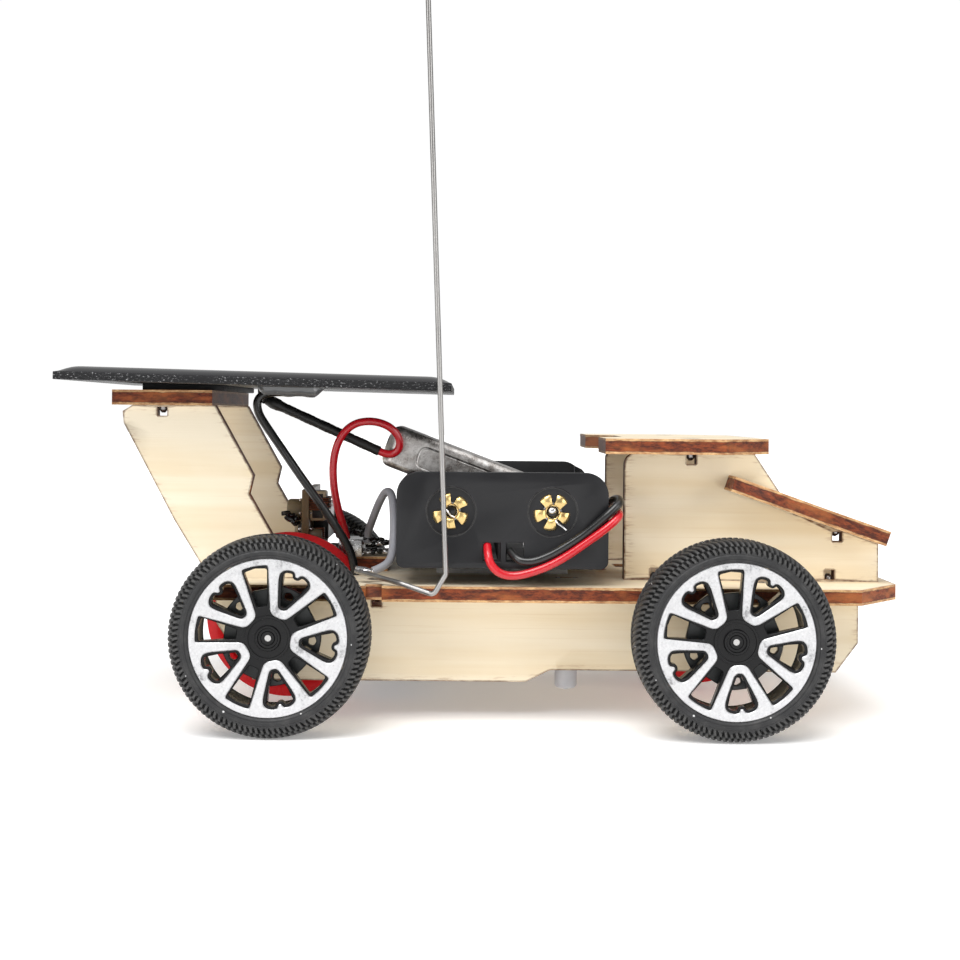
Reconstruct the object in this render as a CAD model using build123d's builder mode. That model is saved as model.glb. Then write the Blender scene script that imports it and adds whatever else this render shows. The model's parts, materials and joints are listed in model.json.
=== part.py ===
"""Wooden four-wheel solar buggy kit: plywood body, geared rear axle, battery tray and solar panel.

Frame: millimetres, +X forwards, +Y to the buggy's left, +Z up.
Origin: on the ground under the middle of the whole kit.
"""
import math
import os

from build123d import *

os.makedirs("parts", exist_ok=True)

# ---------------------------------------------------------------- driving dimensions
ply = 2.4                      # thickness of every plywood plate
ground_clear = 5.8             # underside of the skirts
wheel_radius = 15.0
wheel_width = 9.0
track_outer = 40.0             # outer face of a wheel
rear_axle_x = -31.4
front_axle_x = 37.5
axle_radius = 1.0
axle_play = 0.05               # radial play of an axle or motor shaft in its hole
rim_radius = 11.8              # seat of the tyre on the rim
hub_radius = 3.7

deck_bottom = 19.4
deck_top = deck_bottom + ply
deck_half = 30.0
deck_rear = -45.5
deck_front = 65.8

skirt_outer = 21.0
post_outer = 20.0
cabin_outer = 18.0
roof_bottom = 42.2
wing_bottom = 49.2
wing_top = wing_bottom + ply

panel_length = 61.0
panel_width = 60.0
panel_rear = -65.8
panel_rear_bottom = 53.0
panel_tilt = 1.22              # degrees, nose down
board_thick = 1.2
resin_thick = 1.0
cell_thick = 0.25

gear_module = 0.5
gear_teeth = 52
pinion_teeth = 12
gear_width = 3.0
flange_thick = 0.7             # smooth disc on the right side of a gear
flange_gap = 0.2               # from the flange to the pinion
tooth_backlash = 0.12          # total slack at the pitch circle
centre_slack = 0.1             # extra distance between the two shafts
rear_gear_y = -10.0
front_gear_y = 6.0
slot_side_gap = 1.0            # from a gear's side to the edge of its slot

holder_rear = -13.1
holder_front = 19.5
holder_half = 29.0
holder_bottom = 24.5
holder_top = 39.3
holder_wall = 1.3
bay_pitch = 15.6
bay_height = 33.2

lead_radius = 0.65
black_lead_radius = 0.7
screw_radius = 0.7
screw_play = 0.05
screw_length = 3.6
head_radius = 1.4
head_height = 0.7              # countersunk, flush with the plate
window_side = 1.6              # square window where a screw's tip shows

axle_z = wheel_radius
bay_x = [(holder_rear + holder_front) / 2 - bay_pitch / 2 - 0.1,
         (holder_rear + holder_front) / 2 + bay_pitch / 2 - 0.1]


# ---------------------------------------------------------------- helpers
def save(builder, name):
    """Label a finished piece and write it to its own file."""
    builder.part.label = name
    export_step(builder.part, f"parts/{name}.step")


def side_plane(y_high):
    """Plane whose sketch reads as (X, Z); extruding from it runs towards -Y."""
    return Plane.XZ.offset(-y_high)


def gear_outline(teeth, phase):
    """Corner points of a straight-flanked gear about (0, 0), one tooth centred at phase degrees."""
    pitch_radius = gear_module * teeth / 2
    tip_radius = pitch_radius + 0.7 * gear_module
    root_radius = pitch_radius - 0.9 * gear_module
    half_pitch = math.pi * gear_module / 4 - tooth_backlash / 2
    corners = [(root_radius, half_pitch + 0.16), (tip_radius, half_pitch - 0.16)]
    points = []
    for tooth in range(teeth):
        centre = math.radians(phase) + 2 * math.pi * tooth / teeth
        for sign, order in ((-1, corners), (1, corners[::-1])):
            for radius, half_width in order:
                angle = centre + sign * half_width / radius
                points.append((radius * math.cos(angle), radius * math.sin(angle)))
    return points


def drill(places):
    """Countersunk holes through the plate being built; each place's z axis runs from head to tip."""
    with Locations(*[Plane(origin=place.origin, z_dir=-place.z_dir) for place in places]):
        CounterSinkHole(radius=screw_radius + screw_play, counter_sink_radius=head_radius + screw_play,
                        depth=ply, counter_sink_angle=90)


def both_sides(x, y, z, direction):
    """A screw on the right and one on the left."""
    return [Plane(origin=(x, side * y, z), z_dir=(0, 0, direction)) for side in (-1, 1)]


def make_lead(points, radius, name):
    """A round lead along straight runs joined by the largest tangent arcs that fit."""
    vectors = [Vector(*point) for point in points]
    radii = []
    for before, here, after in zip(vectors, vectors[1:], vectors[2:]):
        turn = math.radians((here - before).get_angle(after - here))
        shorter = min((here - before).length, (after - here).length)
        radii.append(0.45 * shorter / math.tan(turn / 2))
    with BuildPart() as lead:
        with BuildLine():
            route = FilletPolyline(*points, radius=radii)
        with BuildSketch(Plane(origin=route @ 0, z_dir=route % 0)):
            Circle(radius)
        sweep()
    expected = math.pi * radius ** 2 * route.length
    print(f"{name}: length {route.length:.1f}, volume {lead.part.volume:.2f} of {expected:.2f},",
          "radii", [round(value, 1) for value in radii])
    save(lead, name)


# ---------------------------------------------------------------- deck
rear_slot_length = 27.7
front_slot_half = 13.8
slot_width = gear_width + 2 * slot_side_gap
notch_x = -16.45
notch_width = 2.5
lamp_at = (14.0, -15.0)
skirt_screw_x = [notch_x, 45.0]
cabin_screw_x = [28.0, 56.0]
post_tab_x = (-41.0, -31.5)
panel_lead_hole = (-20.3, -13.5)
battery_lead_holes = [(20.7, -1.0), (20.7, 2.0)]

cabin_middle_y = cabin_outer - ply / 2
skirt_screws = [place for x in skirt_screw_x
                for place in both_sides(x, skirt_outer - ply / 2, deck_top, -1)]
cabin_screws = [place for x in cabin_screw_x for place in both_sides(x, cabin_middle_y, deck_bottom, 1)]

with BuildPart() as deck:
    with BuildSketch(Plane.XY.offset(deck_bottom)):
        with BuildLine():
            Polyline((deck_rear, -deck_half), (58.2, -deck_half), (deck_front, -21.0), (deck_front, 21.0),
                     (58.2, deck_half), (deck_rear, deck_half), close=True)
        make_face()
        with Locations((deck_rear + rear_slot_length / 2 - 0.5, rear_gear_y)):
            Rectangle(rear_slot_length + 1, slot_width, mode=Mode.SUBTRACT)
        with Locations((front_axle_x, front_gear_y)):
            Rectangle(2 * front_slot_half, slot_width, mode=Mode.SUBTRACT)
        with Locations((notch_x, -deck_half), (notch_x, deck_half)):
            Rectangle(notch_width, 2 * ply, mode=Mode.SUBTRACT)
        for side in (-1, 1):
            with Locations((sum(post_tab_x) / 2, side * (post_outer - ply / 2))):
                Rectangle(post_tab_x[1] - post_tab_x[0], ply, mode=Mode.SUBTRACT)
        with Locations(panel_lead_hole, *battery_lead_holes):
            Circle(0.9, mode=Mode.SUBTRACT)
        with Locations(lamp_at):
            Rectangle(3.4, 0.8, mode=Mode.SUBTRACT)
    extrude(amount=ply)
    drill(skirt_screws + cabin_screws)
save(deck, "deck")

# ---------------------------------------------------------------- skirts, with the axle holes
skirt_outline = [(-42.0, deck_bottom), (-42.0, 15.0), (-36.0, ground_clear), (7.3, ground_clear),
                 (11.1, 7.7), (56.4, 7.7), (59.9, 12.4), (59.9, deck_bottom)]
skirt_window_z = 18.3


def make_skirt(y_high, name):
    """Side plate under the deck; both axles turn in it."""
    with BuildPart() as skirt:
        with BuildSketch(side_plane(y_high)):
            with BuildLine():
                Polyline(*skirt_outline, close=True)
            make_face()
            step = [corner for corner in vertices() if 7 < corner.X < 12 and corner.Y < 8]
            fillet(step, 1.8)
            with Locations((rear_axle_x, axle_z), (front_axle_x, axle_z)):
                Circle(axle_radius + axle_play, mode=Mode.SUBTRACT)
            with Locations([(x, skirt_window_z) for x in skirt_screw_x]):
                Rectangle(window_side, window_side, mode=Mode.SUBTRACT)
        extrude(amount=ply)
        with BuildSketch(Plane.XY.offset(deck_bottom)):
            with Locations([(x, y_high - ply / 2) for x in skirt_screw_x]):
                Circle(screw_radius + screw_play)
        extrude(amount=-1.5, mode=Mode.SUBTRACT)
    save(skirt, name)


make_skirt(-skirt_outer + ply, "right_skirt")
make_skirt(skirt_outer, "left_skirt")

# ---------------------------------------------------------------- rear posts, tabbed into the deck
post_outline = [(-57.2, 48.2), (-55.6, wing_bottom), (-42.5, wing_bottom), (-36.3, 38.1), (-37.0, 35.15),
                (-33.5, 29.1), (-29.3, deck_top), (post_tab_x[1], deck_top), (post_tab_x[1], deck_bottom),
                (post_tab_x[0], deck_bottom), (post_tab_x[0], deck_top), (-43.2, deck_top),
                (-48.8, 30.9), (-57.0, 46.3)]
wing_screw_x = -50.9
wing_window_z = 48.2


def make_post(y_high, name):
    """Leaning plate that carries the wing board."""
    with BuildPart() as post:
        with BuildSketch(side_plane(y_high)):
            with BuildLine():
                Polyline(*post_outline, close=True)
            make_face()
            with Locations((wing_screw_x, wing_window_z)):
                Rectangle(window_side, window_side - 0.2, mode=Mode.SUBTRACT)
        extrude(amount=ply)
        with BuildSketch(Plane.XY.offset(wing_bottom)):
            with Locations((wing_screw_x, y_high - ply / 2)):
                Circle(screw_radius + screw_play)
        extrude(amount=-1.0, mode=Mode.SUBTRACT)
    save(post, name)


make_post(-post_outer + ply, "right_post")
make_post(post_outer, "left_post")

# ---------------------------------------------------------------- wing board, foam tape, solar panel
wing_screws = both_sides(wing_screw_x, post_outer - ply / 2, wing_top, -1)

with BuildPart() as wing_board:
    with BuildSketch(Plane.XY.offset(wing_bottom)):
        with Locations((-50.75, 0)):
            Rectangle(15.9, 42.0)
    extrude(amount=ply)
    drill(wing_screws)
save(wing_board, "wing_board")

tilt = math.radians(panel_tilt)


def panel_underside(x):
    """Height of the panel's lower face at x."""
    return panel_rear_bottom - (x - panel_rear) * math.tan(tilt)


with BuildPart() as wing_tape:
    with BuildSketch(side_plane(18.0)):
        with BuildLine():
            Polyline((-54.5, wing_top), (-41.4, wing_top), (-41.4, panel_underside(-41.4)),
                     (-54.5, panel_underside(-54.5)), close=True)
        make_face()
    extrude(amount=36.0)
save(wing_tape, "wing_tape")

panel_plane = Plane(origin=(panel_rear, 0, panel_rear_bottom),
                    x_dir=(math.cos(tilt), 0, -math.sin(tilt)), z_dir=(math.sin(tilt), 0, math.cos(tilt)))
cell_count = 10
cell_pitch = 5.6
cell_size = (5.2, 54.0)

with BuildPart() as panel_board:
    with BuildSketch(panel_plane):
        with Locations((panel_length / 2, 0)):
            Rectangle(panel_length, panel_width)
    extrude(amount=board_thick)
save(panel_board, "panel_board")


def cell_places():
    """Centres of the cell strips along the panel."""
    first = panel_length / 2 - cell_pitch * (cell_count - 1) / 2
    return [(first + cell_pitch * index, 0) for index in range(cell_count)]


with BuildPart() as solar_cells:
    with BuildSketch(panel_plane.offset(board_thick)):
        with Locations(cell_places()):
            Rectangle(*cell_size)
    extrude(amount=cell_thick)
save(solar_cells, "solar_cells")

with BuildPart() as panel_resin:
    with BuildSketch(panel_plane.offset(board_thick)):
        with Locations((panel_length / 2, 0)):
            RectangleRounded(panel_length - 0.4, panel_width - 0.4, 1.2)
    extrude(amount=resin_thick)
    upwards = Axis(origin=panel_plane.origin, direction=panel_plane.z_dir)
    fillet(panel_resin.faces().sort_by(upwards)[-1].edges(), 0.75)
    with BuildSketch(panel_plane.offset(board_thick)):
        with Locations(cell_places()):
            Rectangle(*cell_size)
    extrude(amount=cell_thick, mode=Mode.SUBTRACT)
save(panel_resin, "panel_resin")

# ---------------------------------------------------------------- cabin: two plates, hood and roof
cabin_rear = 23.0
hood_slope = 19.0
hood_rear = (38.9, 36.5)       # underside of the hood at its rear edge
hood_length = 26.4
hood_slant = math.radians(hood_slope)


def hood_underside(x):
    """Height of the hood's lower face at x."""
    return hood_rear[1] - (x - hood_rear[0]) * math.tan(hood_slant)


windshield_top_x = 43.8
windshield_foot_x = 50.2
cabin_front = 63.8
cabin_outline = [(cabin_rear, deck_top), (cabin_rear, roof_bottom), (windshield_top_x, roof_bottom),
                 (windshield_foot_x, hood_underside(windshield_foot_x)),
                 (cabin_front, hood_underside(cabin_front)), (cabin_front, deck_top)]
roof_screw_x = 33.7
hood_screw_x = 57.2
hood_plane = Plane(origin=(hood_rear[0], 0, hood_rear[1]),
                   x_dir=(math.cos(hood_slant), 0, -math.sin(hood_slant)),
                   z_dir=(math.sin(hood_slant), 0, math.cos(hood_slant)))
hood_screw_along = (hood_screw_x - hood_rear[0]) / math.cos(hood_slant)


def make_cabin_plate(y_high, name):
    """Upright side of the cabin, standing on the deck."""
    centre_y = y_high - ply / 2
    with BuildPart() as plate:
        with BuildSketch(side_plane(y_high)):
            with BuildLine():
                Polyline(*cabin_outline, close=True)
            make_face()
            top_rear = [corner for corner in vertices() if corner.X < 24 and corner.Y > 40]
            fillet(top_rear, 2.0)
            with Locations((roof_screw_x, roof_bottom - 1.0),
                           (hood_screw_x, hood_underside(hood_screw_x) - 1.2),
                           *[(x, deck_top + 1.1) for x in cabin_screw_x]):
                Rectangle(window_side, window_side, mode=Mode.SUBTRACT)
        extrude(amount=ply)
        with BuildSketch(Plane.XY.offset(roof_bottom)):
            with Locations((roof_screw_x, centre_y)):
                Circle(screw_radius + screw_play)
        extrude(amount=-1.0, mode=Mode.SUBTRACT)
        with BuildSketch(Plane.XY.offset(deck_top)):
            with Locations([(x, centre_y) for x in cabin_screw_x]):
                Circle(screw_radius + screw_play)
        extrude(amount=1.0, mode=Mode.SUBTRACT)
        with BuildSketch(hood_plane):
            with Locations((hood_screw_along, centre_y)):
                Circle(screw_radius + screw_play)
        extrude(amount=-1.2, mode=Mode.SUBTRACT)
    save(plate, name)


make_cabin_plate(-cabin_outer + ply, "right_cabin_plate")
make_cabin_plate(cabin_outer, "left_cabin_plate")

roof_outline = [(19.1, -27.0), (37.9, -27.0), (45.7, -20.0), (45.7, 20.0), (37.9, 27.0), (19.1, 27.0),
                (19.1, 14.0), (23.5, 7.0), (23.5, -7.0), (19.1, -14.0)]
roof_screws = both_sides(roof_screw_x, cabin_middle_y, roof_bottom + ply, -1)

with BuildPart() as roof:
    with BuildSketch(Plane.XY.offset(roof_bottom)):
        with BuildLine():
            Polyline(*roof_outline, close=True)
        make_face()
    extrude(amount=ply)
    drill(roof_screws)
save(roof, "roof")

hood_notch = 12.6              # how far the cabin's notch reaches into the hood
hood_notch_half = cabin_outer + 0.3
hood_outline = [(0, hood_notch_half), (0, 25.0), (6.4, 25.0), (14.9, 22.5), (hood_length, 22.5),
                (hood_length, -22.5), (14.9, -22.5), (6.4, -25.0), (0, -25.0), (0, -hood_notch_half),
                (hood_notch, -hood_notch_half), (hood_notch, hood_notch_half)]

hood_screws = [Plane(origin=hood_plane.from_local_coords((hood_screw_along, side * cabin_middle_y, ply)),
                     z_dir=-hood_plane.z_dir) for side in (-1, 1)]

with BuildPart() as hood:
    with BuildSketch(hood_plane):
        with BuildLine():
            Polyline(*hood_outline, close=True)
        make_face()
    extrude(amount=ply)
    drill(hood_screws)
save(hood, "hood")

# ---------------------------------------------------------------- screws through the plates
with BuildPart() as screws:
    for place in skirt_screws + cabin_screws + wing_screws + roof_screws + hood_screws:
        with BuildSketch(place):
            Circle(head_radius)
        extrude(amount=head_height, taper=45)
        with BuildSketch(place.offset(head_height)):
            Circle(screw_radius)
        extrude(amount=screw_length - head_height - 0.5)
        with BuildSketch(place.offset(screw_length - 0.5)):
            Circle(screw_radius)
        extrude(amount=0.5, taper=40)
        with BuildSketch(place):
            Rectangle(1.5, 0.3)
            Rectangle(0.3, 1.5)
        extrude(amount=0.35, mode=Mode.SUBTRACT)
save(screws, "screws")

# ---------------------------------------------------------------- battery holder and its contacts
holder_length = holder_front - holder_rear
holder_middle = (holder_front + holder_rear) / 2
bay_floor = holder_bottom + holder_wall
rib_top = 31.9
rib_thick = 1.4
recess_radius = 3.8
recess_depth = 0.5
eyelet_radius = 1.5
lead_slot = (0.2, 6.5, 25.5, 28.5)      # low x, high x, low z, high z
side_dip_z = 37.6              # the long walls are lower in the middle

with BuildPart() as battery_holder:
    with BuildSketch(side_plane(holder_half)):
        with Locations((holder_middle, (holder_bottom + holder_top) / 2)):
            Rectangle(holder_length, holder_top - holder_bottom)
        fillet(vertices().group_by(Axis.Y)[-1], 3.5)
        fillet(vertices().group_by(Axis.Y)[0], 1.2)
    extrude(amount=2 * holder_half)
    with BuildSketch(Plane.XY.offset(bay_floor)):
        with Locations((holder_middle, 0)):
            Rectangle(holder_length - 2 * holder_wall, 2 * (holder_half - holder_wall))
    extrude(amount=20.0, mode=Mode.SUBTRACT)
    with BuildSketch(Plane.XY.offset(side_dip_z)):
        with Locations((holder_middle, 0)):
            Rectangle(holder_length, 24.0)
    extrude(amount=5.0, mode=Mode.SUBTRACT)
    with BuildSketch(Plane.XY.offset(bay_floor)):
        with Locations((holder_middle, 0)):
            Rectangle(rib_thick, 2 * (holder_half - holder_wall))
    extrude(amount=rib_top - bay_floor)
    with BuildSketch(side_plane(-holder_half + recess_depth)):
        with Locations([(x, bay_height) for x in bay_x]):
            Circle(recess_radius)
    extrude(amount=recess_depth, mode=Mode.SUBTRACT)
    with BuildSketch(side_plane(-holder_half + holder_wall)):
        with Locations([(x, bay_height) for x in bay_x]):
            Circle(eyelet_radius)
    extrude(amount=holder_wall, mode=Mode.SUBTRACT)
    with BuildSketch(side_plane(-holder_half + holder_wall)):
        for low_x, high_x in ((lead_slot[0], 2.95), (3.75, lead_slot[1])):
            with Locations(((low_x + high_x) / 2, (lead_slot[2] + lead_slot[3]) / 2)):
                Rectangle(high_x - low_x, lead_slot[3] - lead_slot[2])
    extrude(amount=holder_wall, mode=Mode.SUBTRACT)
save(battery_holder, "battery_holder")

with BuildPart() as holder_tape:
    with BuildSketch(Plane.XY.offset(deck_top)):
        with Locations((3.7, 0)):
            Rectangle(21.8, 20.0)
    extrude(amount=holder_bottom - deck_top)
save(holder_tape, "holder_tape")

petal_count = 5
eyelet_face = -holder_half + recess_depth
with BuildPart() as contact_rivets:
    with BuildSketch(side_plane(eyelet_face)):
        for x in bay_x:
            with Locations((x, bay_height)):
                Circle(1.9)
                with PolarLocations(2.1, petal_count, start_angle=20):
                    RectangleRounded(1.8, 1.35, 0.5)
    extrude(amount=0.35)
    with BuildSketch(side_plane(-holder_half + holder_wall)):
        with Locations([(x, bay_height) for x in bay_x]):
            Circle(eyelet_radius)
    extrude(amount=holder_wall)
    with BuildSketch(side_plane(-holder_half + holder_wall)):
        with Locations([(x, bay_height) for x in bay_x]):
            Circle(eyelet_radius - 0.5)
    extrude(amount=holder_wall + 1, mode=Mode.SUBTRACT)
save(contact_rivets, "contact_rivets")

inner_end = holder_half - holder_wall
plate_thick = 0.35
plate_height = 9.0
plate_middle_z = bay_floor + plate_height / 2 + 1.6

with BuildPart() as contact_plates:
    with BuildSketch(side_plane(-inner_end + plate_thick)):
        with Locations([(x, plate_middle_z) for x in bay_x]):
            Rectangle(9.0, plate_height)
    extrude(amount=plate_thick)
    with BuildSketch(side_plane(inner_end)):
        with Locations([(x, plate_middle_z) for x in bay_x]):
            Rectangle(9.0, plate_height)
    extrude(amount=plate_thick)
save(contact_plates, "contact_plates")

spring_length = 6.5
with BuildPart() as contact_springs:
    near_plane = side_plane(-inner_end + plate_thick)
    with BuildSketch(near_plane):
        with Locations((bay_x[0], bay_height)):
            Circle(3.2)
            Circle(2.5, mode=Mode.SUBTRACT)
    extrude(amount=-spring_length, taper=9)
    with BuildSketch(side_plane(inner_end - plate_thick)):
        with Locations((bay_x[1], bay_height)):
            Circle(3.2)
            Circle(2.5, mode=Mode.SUBTRACT)
    extrude(amount=spring_length, taper=9)
save(contact_springs, "contact_springs")

# ---------------------------------------------------------------- buffer cell leaning in the holder
cell_length = 34.0
cell_height = 7.0
cell_width = 15.0
cell_slope = math.radians(20.5)
cell_left = (-15.7, 43.05)
cell_plane = Plane(origin=(cell_left[0], 0, cell_left[1]),
                   x_dir=(math.cos(cell_slope), 0, -math.sin(cell_slope)),
                   z_dir=(math.sin(cell_slope), 0, math.cos(cell_slope)))

with BuildPart() as buffer_cell:
    with BuildSketch(cell_plane.offset(-cell_height / 2)):
        with Locations((cell_length / 2, 0)):
            RectangleRounded(cell_length, cell_width, 2.2)
    extrude(amount=cell_height)
    fillet(buffer_cell.faces().filter_by(Axis(origin=(0, 0, 0), direction=cell_plane.z_dir)).edges(), 1.2)
save(buffer_cell, "buffer_cell")

# ---------------------------------------------------------------- receiver board
board_rear = -30.0
board_front = -28.8
board_low_y = -6.0
board_high_y = 15.0
board_top = 35.2
parts_front = -25.9
chip_z = 29.3

with BuildPart() as receiver_board:
    with Locations(((board_rear + board_front) / 2, (board_low_y + board_high_y) / 2,
                    (deck_top + board_top) / 2)):
        Box(board_front - board_rear, board_high_y - board_low_y, board_top - deck_top)
save(receiver_board, "receiver_board")

with BuildPart() as receiver_parts:
    with Locations((board_front + 1.3, 8.0, chip_z)):
        Box(2.6, 12.0, 6.0)
    with Locations((board_front + 1.4, -3.0, 32.2)):
        Box(2.8, 4.6, 4.6)
    with BuildSketch(Plane.YZ.offset(board_rear)):
        with Locations((-2.5, 31.5), (4.0, 31.0)):
            Circle(2.0)
        with Locations((10.5, 28.0)):
            SlotOverall(9.0, 3.4)
    extrude(amount=-2.8)
    pin_ys = [2.6 + 1.8 * index for index in range(7)]
    for pin_z in (25.4, 33.6):
        with Locations([((board_front + parts_front) / 2, y, pin_z) for y in pin_ys]):
            Box(parts_front - board_front, 0.5, 0.5)
save(receiver_parts, "receiver_parts")

# ---------------------------------------------------------------- slide switch on a plywood pad
pad_top = deck_top + ply
with BuildPart() as switch_pad:
    with Locations((-19.3, -3.2, deck_top + ply / 2)):
        Box(7.8, 8.4, ply)
save(switch_pad, "switch_pad")

switch_rear = -23.6
switch_middle_y = -3.7
switch_length = 9.0
switch_height = 2.8
shell_thick = 3.9
shell_wall = 0.3
base_thick = 1.0
knob_size = (2.0, 1.1)         # along y, along z
switch_travel = 2.0
knob_play = 0.15
shell_front = switch_rear + shell_thick
switch_middle_z = pad_top + switch_height / 2
inside_length = switch_length - 2 * shell_wall
inside_height = switch_height - 2 * shell_wall

with BuildPart() as switch_shell:
    with Locations((switch_rear + shell_thick / 2, switch_middle_y, switch_middle_z)):
        Box(shell_thick, switch_length, switch_height)
    with Locations((switch_rear + shell_thick / 2 + shell_wall, switch_middle_y, switch_middle_z)):
        Box(shell_thick, inside_length, inside_height, mode=Mode.SUBTRACT)
    with Locations((switch_rear, switch_middle_y, switch_middle_z)):
        Box(4 * shell_wall, knob_size[0] + switch_travel + 2 * knob_play, knob_size[1] + 2 * knob_play,
            mode=Mode.SUBTRACT)
save(switch_shell, "switch_shell")

with BuildPart() as switch_base:
    with Locations((shell_front - base_thick / 2, switch_middle_y, switch_middle_z)):
        Box(base_thick, inside_length, inside_height)
save(switch_base, "switch_base")

lug_length = 4.7
lug_zs = [switch_middle_z - 0.7, switch_middle_z + 0.7]
lug_ys = [switch_middle_y + 2.5 * index for index in (-1, 0, 1)]
with BuildPart() as switch_lugs:
    with Locations([(shell_front + lug_length / 2, y, z) for y in lug_ys for z in lug_zs]):
        Box(lug_length, 1.3, 0.3)
save(switch_lugs, "switch_lugs")

slider_body = (1.4, 4.0, 1.8)
with BuildPart() as switch_slider:
    knob_y = switch_middle_y - switch_travel / 2
    with Locations((switch_rear + shell_wall + 0.1 + slider_body[0] / 2, knob_y, switch_middle_z)):
        Box(*slider_body)
    with Locations((switch_rear - 0.55, knob_y, switch_middle_z)):
        Box(2.1, *knob_size)
save(switch_slider, "switch_slider")

# ---------------------------------------------------------------- drive motor under the deck
motor_half_width = 10.0
motor_height = 15.0
motor_length = 20.0
motor_cap_length = 5.0
motor_tape_thick = 0.4
motor_front_y = -7.0
motor_back_y = motor_front_y + motor_length
pitch_distance = gear_module * (gear_teeth + pinion_teeth) / 2 + centre_slack
motor_z = deck_bottom - motor_tape_thick - motor_height / 2
motor_x = rear_axle_x + math.sqrt(pitch_distance ** 2 - (axle_z - motor_z) ** 2)
mesh_angle = math.degrees(math.atan2(motor_z - axle_z, motor_x - rear_axle_x))
bore_radius = 7.2
boss_radius = 3.0
boss_length = 1.5


def motor_section():
    """A round can with flat top and bottom."""
    with Locations((motor_x, motor_z)):
        Circle(motor_half_width)
        Rectangle(3 * motor_half_width, motor_height, mode=Mode.INTERSECT)


with BuildPart() as motor_can:
    with BuildSketch(side_plane(motor_back_y)):
        motor_section()
    extrude(amount=motor_length)
    with BuildSketch(side_plane(motor_back_y)):
        with Locations((motor_x, motor_z)):
            Circle(bore_radius)
    extrude(amount=motor_length - 0.8, mode=Mode.SUBTRACT)
    with BuildSketch(side_plane(motor_front_y)):
        with Locations((motor_x, motor_z)):
            Circle(boss_radius)
    extrude(amount=boss_length)
    with BuildSketch(side_plane(motor_front_y + 2)):
        with Locations((motor_x, motor_z)):
            Circle(axle_radius + axle_play)
    extrude(amount=10.0, mode=Mode.SUBTRACT)
save(motor_can, "motor_can")

with BuildPart() as motor_cap:
    with BuildSketch(side_plane(motor_back_y + motor_cap_length)):
        motor_section()
    extrude(amount=motor_cap_length)
    with BuildSketch(side_plane(motor_back_y + 2.0)):
        with Locations((motor_x, motor_z)):
            Circle(bore_radius)
    extrude(amount=2.0, mode=Mode.SUBTRACT)
    with BuildSketch(side_plane(motor_back_y + 4.0)):
        with Locations((motor_x, motor_z)):
            Circle(axle_radius + axle_play)
    extrude(amount=4.0, mode=Mode.SUBTRACT)
save(motor_cap, "motor_cap")

with BuildPart() as motor_terminals:
    with Locations([(motor_x + side * 6.0, motor_back_y + motor_cap_length + 0.2, motor_z - 4.0)
                    for side in (-1, 1)]):
        Box(2.0, 0.4, 3.4)
save(motor_terminals, "motor_terminals")

with BuildPart() as motor_tape:
    with Locations((motor_x, motor_front_y + motor_length / 2, deck_bottom - motor_tape_thick / 2)):
        Box(11.0, 17.0, motor_tape_thick)
save(motor_tape, "motor_tape")

with BuildPart() as motor_rotor:
    with BuildSketch(side_plane(motor_back_y + 3.6)):
        with Locations((motor_x, motor_z)):
            Circle(axle_radius)
    extrude(amount=motor_back_y + 3.6 - (rear_gear_y - gear_width / 2))
    with BuildSketch(side_plane(motor_back_y - 3.0)):
        with Locations((motor_x, motor_z)):
            Circle(bore_radius - 0.6)
    extrude(amount=motor_length - 6.0)
save(motor_rotor, "motor_rotor")

with BuildPart() as motor_pinion:
    with BuildSketch(side_plane(rear_gear_y + gear_width / 2)):
        with Locations((motor_x, motor_z)):
            Polygon(*gear_outline(pinion_teeth, mesh_angle + 180 + 180 / pinion_teeth), align=None)
            Circle(axle_radius, mode=Mode.SUBTRACT)
    extrude(amount=gear_width - flange_thick - flange_gap)
save(motor_pinion, "motor_pinion")

# ---------------------------------------------------------------- lamp under the deck
lamp_radius = 1.83
lamp_tip = 3.7
with BuildPart() as lamp:
    with BuildSketch(Plane.XY.offset(lamp_tip + 0.25)):
        with Locations(lamp_at):
            Circle(lamp_radius)
    extrude(amount=6.0)
    fillet(lamp.faces().sort_by(Axis.Z)[0].edges(), 0.7)
    with BuildSketch(Plane.XY.offset(lamp_tip)):
        with Locations(lamp_at):
            Circle(0.45)
    extrude(amount=0.6)
save(lamp, "lamp")

with BuildPart() as lamp_legs:
    with Locations([(lamp_at[0] + side * 1.27, lamp_at[1], (lamp_tip + 6.25 + deck_top) / 2)
                    for side in (-1, 1)]):
        Box(0.5, 0.5, deck_top - lamp_tip - 6.25)
save(lamp_legs, "lamp_legs")

# ---------------------------------------------------------------- whip antenna
antenna_radius = 0.4
antenna_foot = [(-19.5, -25.0, 23.6), (-12.2, -30.85, 22.3), (-7.2, -33.2, 20.9), (-5.4, -33.2, 24.0),
                (-11.1, -33.2, 170.0)]
with BuildPart() as antenna:
    with BuildLine():
        whip = FilletPolyline(*antenna_foot, radius=[1.2, 0.9, 0.7])
    with BuildSketch(Plane(origin=whip @ 0, z_dir=whip % 0)):
        Circle(antenna_radius)
    sweep()
save(antenna, "antenna")

# ---------------------------------------------------------------- leads
panel_sleeve_points = [(-35.6, -8.6, 50.2), (-16.9, -8.6, 41.85)]
sleeve_radius = 0.85
sleeve_heading = Vector(*panel_sleeve_points[1]) - Vector(*panel_sleeve_points[0])
with BuildPart() as diode_sleeve:
    with BuildSketch(Plane(origin=panel_sleeve_points[0], z_dir=sleeve_heading)):
        Circle(sleeve_radius)
    extrude(amount=sleeve_heading.length)
save(diode_sleeve, "diode_sleeve")

with BuildPart() as panel_joint:
    with BuildSketch(side_plane(-7.8)):
        with BuildLine():
            Polyline((-37.0, panel_underside(-37.0)), (-34.2, panel_underside(-34.2)), (-35.27, 51.09),
                     (-36.0, 49.43), (-36.9, 50.3), close=True)
        make_face()
    extrude(amount=3.0)
save(panel_joint, "panel_joint")

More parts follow.
